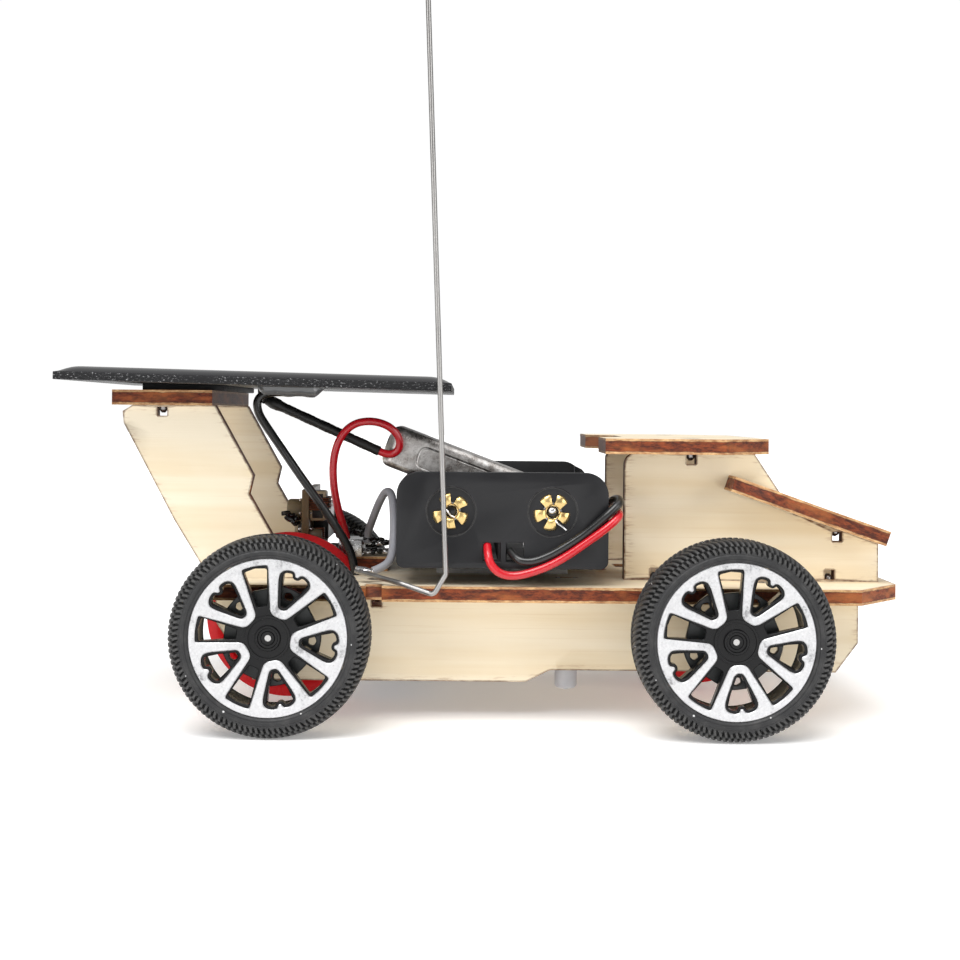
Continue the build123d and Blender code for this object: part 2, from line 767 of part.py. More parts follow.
panel_black_route = [(-27.5, -13.0, 51.5), (-31.5, -13.1, 51.5), (-35.1, -13.0, 51.45),
                     (-36.8, -13.0, 50.3), (-36.6, -13.0, 48.1), (-35.2, -13.0, 45.9),
                     (-32.3, -13.1, 41.8), (-29.4, -13.0, 37.6), (-26.9, -13.1, 34.2),
                     (-24.6, -13.1, 31.0), (-22.2, -13.2, 27.4), (-20.7, -13.4, 24.4), (-20.3, -13.5, 20.8)]
make_lead(panel_black_route, black_lead_radius, "panel_lead_black")

panel_red_route = [(-16.9, -8.6, 41.85), (-15.25, -8.6, 41.113), (-13.6, -9.0, 42.0),
                   (-13.4, -9.4, 44.0), (-15.1, -9.8, 46.1), (-18.2, -10.1, 47.0), (-21.3, -10.3, 46.4),
                   (-23.5, -10.3, 44.0), (-24.5, -10.2, 40.3), (-24.4, -9.9, 36.2), (-23.7, -9.4, 32.4),
                   (-22.8, -8.2, 29.4), (-22.3, -7.2, 27.2)]
make_lead(panel_red_route, lead_radius, "panel_lead_red")

grey_route = [(-18.95, -6.2, 26.46), (-18.95, -6.2, 27.6), (-18.0, -8.0, 29.8), (-16.8, -10.2, 32.7),
              (-15.6, -12.2, 34.6), (-14.6, -14.0, 34.4), (-14.1, -16.0, 32.4), (-13.95, -18.0, 30.0),
              (-13.95, -20.0, 27.4), (-14.1, -22.0, 25.4), (-15.0, -23.7, 24.2), (-16.9, -24.4, 23.5)]
make_lead(grey_route, lead_radius, "receiver_lead_grey")

battery_red_route = [(0.9, -28.4, 28.0), (0.95, -30.1, 26.8), (1.4, -30.6, 25.2), (2.9, -30.6, 23.8),
                     (5.2, -30.6, 23.5), (8.2, -30.6, 24.3), (10.6, -30.6, 25.3), (12.9, -30.6, 26.6),
                     (15.2, -30.6, 28.2), (17.6, -30.6, 29.9), (19.7, -30.5, 31.5), (21.1, -29.7, 32.8),
                     (21.2, -27.0, 33.3), (20.9, -21.5, 32.8), (20.7, -14.0, 31.8), (20.7, -6.0, 30.0),
                     (20.7, -1.2, 27.0), (20.7, -1.0, 20.6)]
make_lead(battery_red_route, lead_radius, "battery_lead_red")

battery_black_route = [(4.4, -28.4, 27.2), (5.2, -30.2, 26.2), (7.6, -30.4, 26.0), (10.5, -30.4, 27.1),
                       (12.8, -30.4, 28.5), (15.2, -30.4, 30.1), (17.5, -30.4, 32.0), (19.6, -30.4, 33.9),
                       (21.2, -29.6, 35.2), (21.2, -27.0, 35.5), (20.9, -21.5, 34.9), (20.7, -14.0, 33.6),
                       (20.7, -6.0, 32.0), (20.7, 1.0, 30.4), (20.7, 2.0, 27.5), (20.7, 2.0, 20.6)]
make_lead(battery_black_route, lead_radius, "battery_lead_black")

# ---------------------------------------------------------------- wheels
rim_face = 1.2                 # thickness of the spoked face
rim_inset = 0.5                # how far the face sits inside the tyre's outer side
barrel_wall = 0.8
disc_radius = 7.0
axle_recess = 0.8
petals = 5


# windows of the wheel centre, drawn pointing along +X from the hub
petal_window = [(4.6, 0), (5.6, -1.0), (9.3, -2.5), (10.2, -1.6), (9.6, -0.35), (9.6, 0.35),
                (10.2, 1.6), (9.3, 2.5), (5.6, 1.0)]
spoke_window = [(5.0, -0.35), (9.9, -1.35), (10.35, 0), (9.9, 1.35), (5.0, 0.35)]


def make_rim(x, side, phase, name):
    """Wheel centre on the side given by side = -1 (right) or +1 (left)."""
    outer = side * (track_outer - rim_inset)
    inner = side * (track_outer - wheel_width + 0.2)
    plane = Plane(origin=(x, outer, axle_z), x_dir=(1, 0, 0), z_dir=(0, -1, 0))
    inward = side
    with BuildPart() as rim:
        with BuildSketch(plane):
            Circle(rim_radius)
            with PolarLocations(0, petals, start_angle=phase):
                Polygon(*petal_window, align=None, mode=Mode.SUBTRACT)
            with PolarLocations(0, petals, start_angle=phase + 180 / petals):
                Polygon(*spoke_window, align=None, mode=Mode.SUBTRACT)
        extrude(amount=inward * rim_face)
        with BuildSketch(plane):
            Circle(rim_radius)
            Circle(rim_radius - barrel_wall, mode=Mode.SUBTRACT)
        extrude(amount=inward * abs(outer - inner))
        with BuildSketch(plane):
            Circle(hub_radius)
        extrude(amount=inward * abs(outer - inner))
        with BuildSketch(plane.offset(inward * 6.0)):
            Circle(disc_radius)
        extrude(amount=inward * 0.8)
        with BuildSketch(plane.offset(-inward)):
            Circle(axle_radius)
        extrude(amount=inward * (abs(outer - inner) + 2), mode=Mode.SUBTRACT)
    save(rim, name)


def make_tyre(x, side, name):
    """Round-shouldered tyre, revolved about its axle."""
    middle = side * (track_outer - wheel_width / 2)
    half = wheel_width / 2
    with BuildPart() as tyre:
        with BuildSketch(Plane(origin=(x, middle, axle_z), x_dir=(0, 1, 0), z_dir=(1, 0, 0))):
            with BuildLine():
                Polyline((-half + 0.5, rim_radius), (half - 0.5, rim_radius), (half, rim_radius + 0.9),
                         (half - 0.2, wheel_radius - 1.0), (half - 1.3, wheel_radius - 0.12),
                         (0, wheel_radius), (-half + 1.3, wheel_radius - 0.12),
                         (-half + 0.2, wheel_radius - 1.0), (-half, rim_radius + 0.9), close=True)
            make_face()
        revolve(axis=Axis(origin=(x, 0, axle_z), direction=(0, 1, 0)))
    save(tyre, name)


def make_axle(x, name):
    """Steel axle, its ends a little inside the hubs."""
    half = track_outer - axle_recess
    with BuildPart() as axle:
        with BuildSketch(side_plane(half)):
            with Locations((x, axle_z)):
                Circle(axle_radius)
        extrude(amount=2 * half)
    save(axle, name)


def make_gear(x, y, phase, name):
    """Large flanged gear pressed on an axle."""
    with BuildPart() as gear:
        with BuildSketch(side_plane(y + gear_width / 2)):
            with Locations((x, axle_z)):
                Polygon(*gear_outline(gear_teeth, phase), align=None)
                Circle(axle_radius, mode=Mode.SUBTRACT)
        extrude(amount=gear_width)
        with BuildSketch(side_plane(y - gear_width / 2 + flange_thick)):
            with Locations((x, axle_z)):
                Circle(gear_module * gear_teeth / 2 + gear_module)
                Circle(axle_radius, mode=Mode.SUBTRACT)
        extrude(amount=flange_thick)
        for face_y, direction in ((y - gear_width / 2, 1), (y + gear_width / 2, -1)):
            with BuildSketch(side_plane(face_y)):
                with Locations((x, axle_z)):
                    Circle(11.2)
                    Circle(3.2, mode=Mode.SUBTRACT)
            extrude(amount=-direction * 0.7, mode=Mode.SUBTRACT)
    save(gear, name)


def make_spacers(x, name):
    """The two sleeves that keep the wheels off the skirts."""
    hub_inner = track_outer - wheel_width + 0.2
    sleeve_gap = 0.3
    with BuildPart() as spacers:
        for high, low in ((hub_inner, skirt_outer + sleeve_gap), (-skirt_outer - sleeve_gap, -hub_inner)):
            with BuildSketch(side_plane(high)):
                with Locations((x, axle_z)):
                    Circle(2.0)
                    Circle(axle_radius, mode=Mode.SUBTRACT)
            extrude(amount=high - low)
    save(spacers, name)


for end, x, petal_phase, gear_y, gear_phase in (("rear", rear_axle_x, -7, rear_gear_y, mesh_angle),
                                                ("front", front_axle_x, -13, front_gear_y, 0)):
    make_axle(x, f"{end}_axle")
    make_gear(x, gear_y, gear_phase, f"{end}_gear")
    make_spacers(x, f"{end}_spacers")
    for side_name, side in (("right", -1), ("left", 1)):
        make_rim(x, side, petal_phase, f"{end}_{side_name}_rim")
        make_tyre(x, side, f"{end}_{side_name}_tyre")

print(f"motor shaft at x {motor_x:.3f}, z {motor_z:.3f}; gear ratio {gear_teeth / pinion_teeth:.4f}")
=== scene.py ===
"""Looks of the wooden solar buggy kit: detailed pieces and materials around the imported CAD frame.

Sizes are in millimetres where a name or comment doesn't say otherwise; MM turns them into metres.
"""
import json
import math
import random

import bmesh
import bpy
from mathutils import Matrix, Vector
from mathutils.bvhtree import BVHTree
from mathutils.geometry import delaunay_2d_cdt, tessellate_polygon


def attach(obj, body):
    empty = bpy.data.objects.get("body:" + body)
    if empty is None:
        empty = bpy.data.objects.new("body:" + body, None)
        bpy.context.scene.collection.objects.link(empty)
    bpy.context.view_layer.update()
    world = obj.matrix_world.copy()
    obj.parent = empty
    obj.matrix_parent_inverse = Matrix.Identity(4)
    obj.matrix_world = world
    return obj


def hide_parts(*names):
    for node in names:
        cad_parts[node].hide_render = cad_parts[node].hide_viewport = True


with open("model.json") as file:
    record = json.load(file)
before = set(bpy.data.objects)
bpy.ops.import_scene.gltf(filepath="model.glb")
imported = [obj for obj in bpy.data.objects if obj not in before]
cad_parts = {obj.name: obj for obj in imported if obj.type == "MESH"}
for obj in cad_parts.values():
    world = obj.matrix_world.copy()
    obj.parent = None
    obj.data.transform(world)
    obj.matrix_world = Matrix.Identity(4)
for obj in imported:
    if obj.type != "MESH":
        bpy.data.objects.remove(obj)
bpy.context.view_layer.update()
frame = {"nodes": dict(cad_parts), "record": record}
MM = 0.001
TURN = 2 * math.pi
BODY_OF = {node: body for body, nodes in frame["record"]["behaviour"]["bodies"].items() for node in nodes}


def mm(*values):
    """A point given in millimetres, in metres."""
    return Vector(values) * MM


# ---------------------------------------------------------------- camera
def set_camera():
    """A long view from the buggy's right side, almost level."""
    data = bpy.data.cameras.new("camera")
    data.sensor_width = 36.0
    data.lens = 58.9
    data.shift_x = 0.0156
    data.shift_y = -0.0708
    data.clip_start = 0.01
    camera = bpy.data.objects.new("camera", data)
    standing = Matrix.Translation(mm(-2.7, -270.0, 48.5))
    level = Matrix.Rotation(math.radians(90), 4, "X")
    roll = Matrix.Rotation(math.radians(0.5), 4, "Z")
    camera.matrix_world = standing @ level @ roll
    bpy.context.collection.objects.link(camera)
    bpy.context.scene.camera = camera


set_camera()


# ---------------------------------------------------------------- materials
def by_axis(size):
    """Three numbers, one for each axis, from three or from one."""
    return size if isinstance(size, tuple) else (size,) * 3


class Finish:
    """A Principled material; its varying inputs are procedural, with lengths in millimetres."""

    def __init__(self, name, color, roughness, metallic=0.0, **sockets):
        self.material = bpy.data.materials.new(name)
        self.material.use_nodes = True
        self.tree = self.material.node_tree
        self.shader = self.tree.nodes["Principled BSDF"]
        self.put("Base Color", color)
        self.put("Roughness", roughness)
        self.put("Metallic", metallic)
        for socket, value in sockets.items():
            self.put(socket.replace("_", " ").title().replace("Ior", "IOR"), value)

    def put(self, socket, value):
        """Set one of the shader's own sockets, or link it."""
        self.join(value, self.shader.inputs[socket])

    def join(self, value, socket):
        """Link a socket to another one, or give it a value."""
        if isinstance(value, bpy.types.NodeSocket):
            self.tree.links.new(value, socket)
        elif isinstance(value, (tuple, list)) and len(value) == 3 and socket.type == "RGBA":
            socket.default_value = (*value, 1.0)
        else:
            socket.default_value = value

    def node(self, kind, **values):
        made = self.tree.nodes.new(kind)
        for name, value in values.items():
            setattr(made, name, value)
        return made

    def place(self, stretch=1.0, source=None):
        """Position on the piece in millimetres, times stretch, or else that of source."""
        if source is None:
            source = self.node("ShaderNodeTexCoord").outputs["Object"]
        mapping = self.node("ShaderNodeMapping")
        self.join(source, mapping.inputs["Vector"])
        mapping.inputs["Scale"].default_value = [1000 * value for value in by_axis(stretch)]
        return mapping.outputs["Vector"]

    def noise(self, stretch, detail, rough=0.55, source=None):
        made = self.node("ShaderNodeTexNoise")
        self.join(self.place(stretch, source), made.inputs["Vector"])
        made.inputs["Scale"].default_value = 1.0
        made.inputs["Detail"].default_value = detail
        made.inputs["Roughness"].default_value = rough
        return made.outputs[0]

    def specks(self, stretch, size):
        """1 inside small scattered dots, 0 elsewhere."""
        made = self.node("ShaderNodeTexVoronoi")
        self.join(self.place(stretch), made.inputs["Vector"])
        made.inputs["Scale"].default_value = 1.0
        return self.level(made.outputs["Distance"], size, size * 0.6)

    def axis(self, name, source=None):
        """One coordinate of source, or else of the position in millimetres."""
        split = self.node("ShaderNodeSeparateXYZ")
        self.join(self.place() if source is None else source, split.inputs[0])
        return split.outputs[name]

    def attribute(self, name, output="Fac"):
        return self.node("ShaderNodeAttribute", attribute_name=name).outputs[output]

    def level(self, value, low, high, to_low=0.0, to_high=1.0):
        """A smooth step from to_low, where value is low, to to_high, where it is high."""
        made = self.node("ShaderNodeMapRange", interpolation_type="SMOOTHSTEP")
        for index, item in enumerate((value, low, high, to_low, to_high)):
            self.join(item, made.inputs[index])
        return made.outputs[0]

    def maths(self, operation, first, second=0.0):
        made = self.node("ShaderNodeMath", operation=operation)
        self.join(first, made.inputs[0])
        self.join(second, made.inputs[1])
        return made.outputs[0]

    def times(self, first, second):
        return self.maths("MULTIPLY", first, second)

    def distance(self, first, second):
        return self.maths("ABSOLUTE", self.maths("SUBTRACT", first, second))

    def blend(self, amount, first, second):
        made = self.node("ShaderNodeMix", data_type="RGBA")
        self.join(amount, made.inputs[0])
        self.join(first, made.inputs[6])
        self.join(second, made.inputs[7])
        return made.outputs[2]

    def bump(self, height, depth, strength):
        """Relief of the given depth in millimetres."""
        made = self.node("ShaderNodeBump")
        made.inputs["Strength"].default_value = strength
        made.inputs["Distance"].default_value = depth * MM
        self.join(height, made.inputs["Height"])
        self.put("Normal", made.outputs["Normal"])


def wood_face(name, streak_x=None):
    """Pale basswood with grain along X; streak_x is where scorched grain runs in from an edge."""
    finish = Finish(name, (0.8, 0.68, 0.46), 0.52, specular_ior_level=0.35)
    fine = finish.noise((0.035, 2.6, 2.6), 6.0, 0.62)
    broad = finish.noise((0.012, 0.22, 0.22), 3.0)
    mottle = finish.noise(0.12, 2.0)
    pale = (0.89, 0.79, 0.615)
    warm = (0.82, 0.69, 0.485)
    tan = (0.66, 0.5, 0.3)
    color = finish.blend(finish.level(broad, 0.36, 0.68), pale, warm)
    color = finish.blend(finish.level(fine, 0.56, 0.8, 0.0, 0.34), color, tan)
    color = finish.blend(finish.level(mottle, 0.5, 0.75, 0.0, 0.25), color, pale)
    if streak_x is not None:
        near = finish.level(finish.distance(finish.axis("X"), streak_x), 2.2, 0.0, 0.0, 0.7)
        lines = finish.level(finish.noise((0.25, 2.4, 2.4), 5.0, 0.7), 0.5, 0.68)
        color = finish.blend(finish.times(near, lines), color, (0.34, 0.16, 0.06))
    border = finish.attribute("border")
    ragged = finish.level(finish.noise((0.5, 1.3, 1.3), 5.0, 0.65), 0.25, 0.7, 0.3, 1.0)
    fringe = finish.level(finish.noise((0.3, 2.2, 2.2), 5.0, 0.7), 0.5, 0.7)
    halo = finish.times(finish.level(border, 1.5, 0.1, 0.0, 0.45), fringe)
    color = finish.blend(halo, color, (0.36, 0.17, 0.06))
    scorch = finish.times(finish.level(border, 0.34, 0.03), ragged)
    color = finish.blend(scorch, color, (0.12, 0.045, 0.02))
    finish.put("Base Color", color)
    finish.put("Roughness", finish.level(fine, 0.3, 0.8, 0.48, 0.64))
    finish.bump(fine, 0.05, 0.6)
    return finish.material


def wood_edge():
    """Laser-cut edge: a charred core between two pale veneers."""
    finish = Finish("laser_cut_edge", (0.15, 0.05, 0.02), 0.62, specular_ior_level=0.35)
    flow = finish.attribute("flow", "Vector")
    stripes = finish.noise(0.55, 5.0, 0.75, flow)
    ticks = finish.noise((2.6, 2.6, 0.4), 3.0, 0.6, flow)
    slow = finish.noise(0.12, 3.0, 0.5, flow)
    wobble = finish.noise(0.45, 3.0, 0.6, flow)
    depth = finish.attribute("depth")
    core = finish.blend(finish.level(stripes, 0.35, 0.7), (0.05, 0.01, 0.004), (0.27, 0.052, 0.012))
    core = finish.blend(finish.level(slow, 0.48, 0.7, 0.0, 0.5), core, (0.55, 0.17, 0.04))
    core = finish.blend(finish.level(ticks, 0.6, 0.75, 0.0, 0.35), core, (0.05, 0.014, 0.008))
    veneer = finish.blend(finish.level(stripes, 0.3, 0.75), (0.3, 0.12, 0.045), (0.78, 0.5, 0.24))
    middle = finish.distance(depth, 0.5)
    reach = finish.maths("ADD", middle, finish.level(wobble, 0.2, 0.8, -0.035, 0.035))
    color = finish.blend(finish.level(reach, 0.31, 0.37), core, veneer)
    line = finish.level(finish.distance(reach, 0.335), 0.03, 0.0, 0.0, 0.7)
    color = finish.blend(line, color, (0.05, 0.018, 0.01))
    # Faces turned along X go grey-dark: partly char, partly painted shade on the end faces.
    normal_x = finish.axis("X", finish.node("ShaderNodeNewGeometry").outputs["Normal"])
    painted_end_shade = finish.level(finish.maths("ABSOLUTE", normal_x), 0.75, 0.95, 0.0, 0.72)
    color = finish.blend(painted_end_shade, color, (0.115, 0.085, 0.075))
    finish.put("Base Color", color)
    finish.bump(stripes, 0.12, 0.7)
    return finish.material


GLOSS_SPREAD = 0.07


def tuned(name, color, roughness, grain=1.5, metallic=0.0, wear=None, relief=0.02, **sockets):
    """Moulded or metal surface with uneven gloss, a fine relief and, with wear, patches of that colour."""
    finish = Finish(name, color, roughness, metallic, **sockets)
    fine = finish.noise(grain, 5.0, 0.6)
    slow = finish.noise(tuple(value * 0.12 for value in by_axis(grain)), 3.0)
    finish.put("Roughness", finish.level(slow, 0.3, 0.7, max(0.03, roughness - GLOSS_SPREAD),
                                         roughness + GLOSS_SPREAD))
    dark = tuple(value * 0.82 for value in color)
    tone = finish.blend(finish.level(slow, 0.3, 0.7), dark, color)
    if wear is not None:
        tone = finish.blend(finish.level(fine, 0.56, 0.74, 0.0, 0.65), tone, wear)
    finish.put("Base Color", tone)
    if relief:
        finish.bump(fine, relief, 0.5)
    return finish.material


def rubber():
    """Black rubber with a painted highlight on the raised lugs and painted shade, nearly black, in the
    grooves, and a few pale specks.
    """
    finish = Finish("tyre_rubber", (0.03, 0.03, 0.032), 0.5, specular_ior_level=0.5)
    fine = finish.noise(2.4, 5.0)
    dust = finish.level(finish.noise(0.5, 4.0), 0.4, 0.75, 0.0, 0.5)
    color = finish.blend(dust, (0.014, 0.014, 0.015), (0.05, 0.049, 0.048))
    raised = finish.attribute("raised")
    # Painted highlight: the raised lug tops are paler.
    color = finish.blend(finish.level(raised, 0.55, 1.0, 0.0, 0.55), color, (0.07, 0.069, 0.067))
    # Painted shade: the grooves are nearly black.
    color = finish.blend(finish.level(raised, 0.5, 0.1), color, (0.004, 0.004, 0.004))
    color = finish.blend(finish.specks(0.42, 0.085), color, (0.6, 0.6, 0.6))
    finish.put("Base Color", color)
    finish.put("Roughness", finish.level(fine, 0.3, 0.7, 0.46, 0.66))
    finish.bump(fine, 0.05, 0.6)
    return finish.material


def machined_silver():
    """Bright satin face of the wheel centres, with grey scuffs."""
    finish = Finish("silver_face", (0.86, 0.86, 0.87), 0.32, 0.85)
    fine = finish.noise(3.0, 6.0, 0.7)
    patch = finish.noise(0.3, 4.0, 0.65)
    scuff = finish.times(finish.level(patch, 0.54, 0.68), finish.level(fine, 0.42, 0.58))
    color = finish.blend(finish.level(fine, 0.3, 0.7), (0.62, 0.62, 0.63), (0.78, 0.78, 0.79))
    color = finish.blend(finish.times(scuff, 0.75), color, (0.16, 0.16, 0.17))
    finish.put("Base Color", color)
    finish.put("Roughness", finish.level(fine, 0.3, 0.7, 0.26, 0.46))
    finish.bump(fine, 0.04, 0.6)
    return finish.material


def laminate():
    """Black panel board, its sawn edge speckled with glass fibre."""
    finish = Finish("black_laminate", (0.007, 0.007, 0.008), 0.42, specular_ior_level=0.25)
    fine = finish.noise((2.2, 2.2, 4.5), 5.0, 0.75)
    patch = finish.level(finish.noise(0.12, 2.0), 0.3, 0.62)
    fibres = finish.times(finish.level(fine, 0.56, 0.66), patch)
    finish.put("Base Color", finish.blend(fibres, (0.007, 0.007, 0.008), (0.5, 0.5, 0.51)))
    finish.bump(fine, 0.14, 0.9)
    return finish.material


def cast_resin(first_cell, pitch, strip, count):
    """Black glossy resin; the cell strips and their silver fingers show through it."""
    finish = Finish("cast_resin", (0.008, 0.009, 0.013), 0.07, coat_weight=1.0, coat_roughness=0.04)
    x = finish.axis("X")
    step = finish.maths("FRACT", finish.maths("DIVIDE", finish.maths("SUBTRACT", x, first_cell), pitch))
    from_middle = finish.distance(step, 0.5)
    cell = finish.level(from_middle, strip / pitch / 2, strip / pitch / 2 - 0.02)
    busbar = finish.level(from_middle, 0.05, 0.03, 0.0, 0.8)
    across = finish.maths("FRACT", finish.maths("DIVIDE", finish.axis("Y"), 1.5))
    finger = finish.level(finish.distance(across, 0.5), 0.06, 0.03, 0.0, 0.45)
    inside = finish.level(finish.maths("ABSOLUTE", finish.axis("Y")), 27.1, 26.9)
    half = pitch * count / 2
    from_centre = finish.distance(x, first_cell + half)
    inside = finish.times(inside, finish.level(from_centre, half, half - 0.1))
    crystal = finish.noise(0.35, 2.0)
    silicon = finish.blend(finish.level(crystal, 0.35, 0.65), (0.006, 0.010, 0.03), (0.014, 0.02, 0.052))
    silicon = finish.blend(finish.maths("MAXIMUM", busbar, finger), silicon, (0.36, 0.37, 0.4))
    seen = finish.times(cell, inside)
    upward = finish.level(finish.attribute("top"), 0.2, 0.6)
    seen = finish.times(seen, upward)
    finish.put("Base Color", finish.blend(seen, (0.006, 0.006, 0.008), silicon))
    ripple = finish.noise(0.1, 2.0)
    finish.bump(ripple, 0.12, 0.5)
    return finish.material


def speckled_nickel():
    """Nickel plate with dull, dark mottling."""
    finish = Finish("mottled_nickel", (0.5, 0.48, 0.46), 0.32, 0.9)
    coarse = finish.noise(0.42, 5.0, 0.7)
    fine = finish.noise(2.2, 5.0, 0.7)
    color = finish.blend(finish.level(coarse, 0.35, 0.65), (0.36, 0.33, 0.31), (0.78, 0.76, 0.74))
    color = finish.blend(finish.level(fine, 0.56, 0.7, 0.0, 0.6), color, (0.15, 0.13, 0.12))
    finish.put("Base Color", color)
    finish.put("Roughness", finish.level(coarse, 0.3, 0.7, 0.24, 0.44))
    finish.bump(fine, 0.05, 0.6)
    return finish.material


def milky():
    """Cloudy, slightly translucent plastic."""
    finish = Finish("milky_plastic", (0.72, 0.74, 0.78), 0.28, transmission_weight=0.35,
                    subsurface_weight=0.4)
    finish.put("Subsurface Radius", (0.002, 0.002, 0.002))
    cloud = finish.noise(0.4, 3.0)
    finish.put("Base Color", finish.blend(cloud, (0.62, 0.64, 0.68), (0.85, 0.86, 0.9)))
    return finish.material


def copper_windings():
    """Enamelled wire round a core, seen as fine rings along Z, with painted shade in the grooves between
    turns.
    """
    finish = Finish("copper_windings", (0.3, 0.1, 0.06), 0.35, 0.6)
    rings = finish.maths("PINGPONG", finish.axis("Z"), 0.16)
    # Painted shade: dark lines in the grooves between the turns.
    turn = finish.level(rings, 0.02, 0.14)
    finish.put("Base Color", finish.blend(turn, (0.06, 0.02, 0.012), (0.36, 0.13, 0.07)))
    finish.bump(turn, 0.12, 0.9)
    return finish.material


WOOD = wood_face("basswood")
WOOD_CABIN = wood_face("basswood_cabin", streak_x=23.0)
EDGE = wood_edge()
RUBBER = rubber()
SILVER = machined_silver()
NICKEL = speckled_nickel()
LAMINATE = laminate()
MILKY = milky()
WINDINGS = copper_windings()
WHEEL_BLACK = tuned("wheel_black", (0.004, 0.004, 0.0045), 0.26, wear=(0.009, 0.009, 0.01), relief=0.05,
                    specular_ior_level=0.3)
DISC_GREY = tuned("disc_grey", (0.028, 0.032, 0.032), 0.36, wear=(0.055, 0.06, 0.06), relief=0.06)
HOLDER_BLACK = tuned("holder_black", (0.013, 0.013, 0.0145), 0.36, 0.9, relief=0.02,
                     specular_ior_level=0.35)
STEEL = tuned("bright_steel", (0.62, 0.61, 0.6), 0.26, (3.0, 3.0, 0.6), 0.95, wear=(0.4, 0.39, 0.38))
WHIP_STEEL = tuned("whip_steel", (0.4, 0.39, 0.38), 0.34, (3.0, 3.0, 0.6), 0.9, wear=(0.26, 0.25, 0.24))
SCREW_STEEL = tuned("screw_steel", (0.36, 0.34, 0.33), 0.3, metallic=0.95, wear=(0.16, 0.14, 0.13),
                    relief=0.06)
BRASS = tuned("brass", (0.86, 0.62, 0.26), 0.26, 0.9, 0.9, wear=(0.5, 0.26, 0.07), relief=0.08)
TINNED = tuned("tinned", (0.8, 0.8, 0.8), 0.22, metallic=0.95, wear=(0.5, 0.5, 0.5), relief=0.1)
SOLDER = tuned("solder", (0.86, 0.86, 0.87), 0.18, 0.8, 0.9, relief=0.12)
# Dark flux; it also colours the eyelets' dark plugs and the painted shade rings round their recesses.
FLUX_AND_PAINTED_SHADE = tuned("dark_flux_and_painted_shade", (0.01, 0.009, 0.009), 0.14, relief=0.1)
RED_WIRE = tuned("red_insulation", (0.62, 0.008, 0.018), 0.24, wear=(0.72, 0.02, 0.03), coat_weight=0.4)
BLACK_WIRE = tuned("black_insulation", (0.008, 0.008, 0.008), 0.3, wear=(0.016, 0.016, 0.016),
                   coat_weight=0.3)
GREY_WIRE = tuned("grey_insulation", (0.34, 0.34, 0.37), 0.34, wear=(0.42, 0.42, 0.45))
SLEEVE = tuned("shrink_sleeve", (0.006, 0.006, 0.006), 0.46, relief=0.04, wear=(0.014, 0.014, 0.014))
RED_PLASTIC = tuned("red_nylon", (0.56, 0.004, 0.008), 0.3, wear=(0.62, 0.012, 0.014),
                    specular_ior_level=0.3)
WHITE_PLASTIC = tuned("white_nylon", (0.76, 0.75, 0.7), 0.36, wear=(0.82, 0.81, 0.78), subsurface_weight=0.15)
PHENOLIC = tuned("brown_phenolic", (0.12, 0.045, 0.025), 0.4, (0.7, 0.7, 3.0), wear=(0.2, 0.08, 0.04))
CIRCUIT = tuned("circuit_board", (0.2, 0.13, 0.06), 0.36, 0.8, wear=(0.26, 0.16, 0.07))
OLIVE = tuned("olive_parts", (0.27, 0.21, 0.13), 0.4, wear=(0.36, 0.3, 0.2), relief=0.05)
TAN = tuned("tan_parts", (0.6, 0.47, 0.3), 0.38, wear=(0.7, 0.56, 0.36), relief=0.05)
CHIP = tuned("chip_black", (0.012, 0.012, 0.012), 0.36, wear=(0.02, 0.02, 0.02), relief=0.04)
FOAM = tuned("grey_foam", (0.78, 0.78, 0.77), 0.8, 4.0, wear=(0.6, 0.6, 0.6), relief=0.2)
BLACK_FOAM = tuned("black_foam", (0.012, 0.012, 0.013), 0.75, 4.0, relief=0.25)
GLUE = tuned("grey_glue", (0.14, 0.145, 0.15), 0.18, 0.5, wear=(0.5, 0.5, 0.52), relief=0.15,
             coat_weight=0.6)
MOTOR_STEEL = tuned("motor_steel", (0.5, 0.5, 0.51), 0.3, (0.5, 0.5, 2.4), 0.95, wear=(0.36, 0.35, 0.34))
SILICON = tuned("silicon", (0.01, 0.015, 0.04), 0.25, metallic=0.2, relief=0.0)


# ---------------------------------------------------------------- piece helpers
def finish_piece(name, mesh, body, materials, replaces=(), centre=(0, 0, 0), smooth=35.0):
    """Turn a bmesh, drawn about centre, into a piece that rides on a body."""
    bmesh.ops.recalc_face_normals(mesh, faces=mesh.faces)
    data = bpy.data.meshes.new(name)
    mesh.to_mesh(data)
    mesh.free()
    place_mesh(name, data, body, materials, replaces, centre, smooth)


def place_mesh(name, data, body, materials, replaces, centre, smooth, turn=0.0):
    """Show mesh data as a piece on a body, turned about Z; edges sharper than smooth degrees stay sharp."""
    piece = bpy.data.objects.new(name, data)
    bpy.context.collection.objects.link(piece)
    piece.matrix_world = Matrix.Translation(mm(*centre)) @ Matrix.Rotation(turn, 4, "Z")
    if not data.materials:
        for material in materials:
            data.materials.append(material)
    data.shade_smooth()
    data.set_sharp_from_angle(angle=math.radians(smooth))
    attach(piece, body)
    if replaces:
        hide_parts(*replaces)


def cad_copy(node):
    """The CAD node's shape with merged vertices and whole flat faces."""
    mesh = bmesh.new()
    mesh.from_mesh(frame["nodes"][node].data)
    bmesh.ops.remove_doubles(mesh, verts=mesh.verts, dist=1e-7)
    bmesh.ops.dissolve_limit(mesh, angle_limit=math.radians(0.4), verts=mesh.verts, edges=mesh.edges)
    for face in mesh.faces:
        face.material_index = 0
    return mesh


def round_edges(mesh, width, limit=28.0):
    """Round every edge sharper than limit degrees."""
    sharp = [edge for edge in mesh.edges
             if len(edge.link_faces) == 2 and edge.calc_face_angle(0) > math.radians(limit)]
    bmesh.ops.bevel(mesh, geom=sharp, offset=width * MM, segments=2, profile=0.5, affect="EDGES",
                    clamp_overlap=True, loop_slide=True)


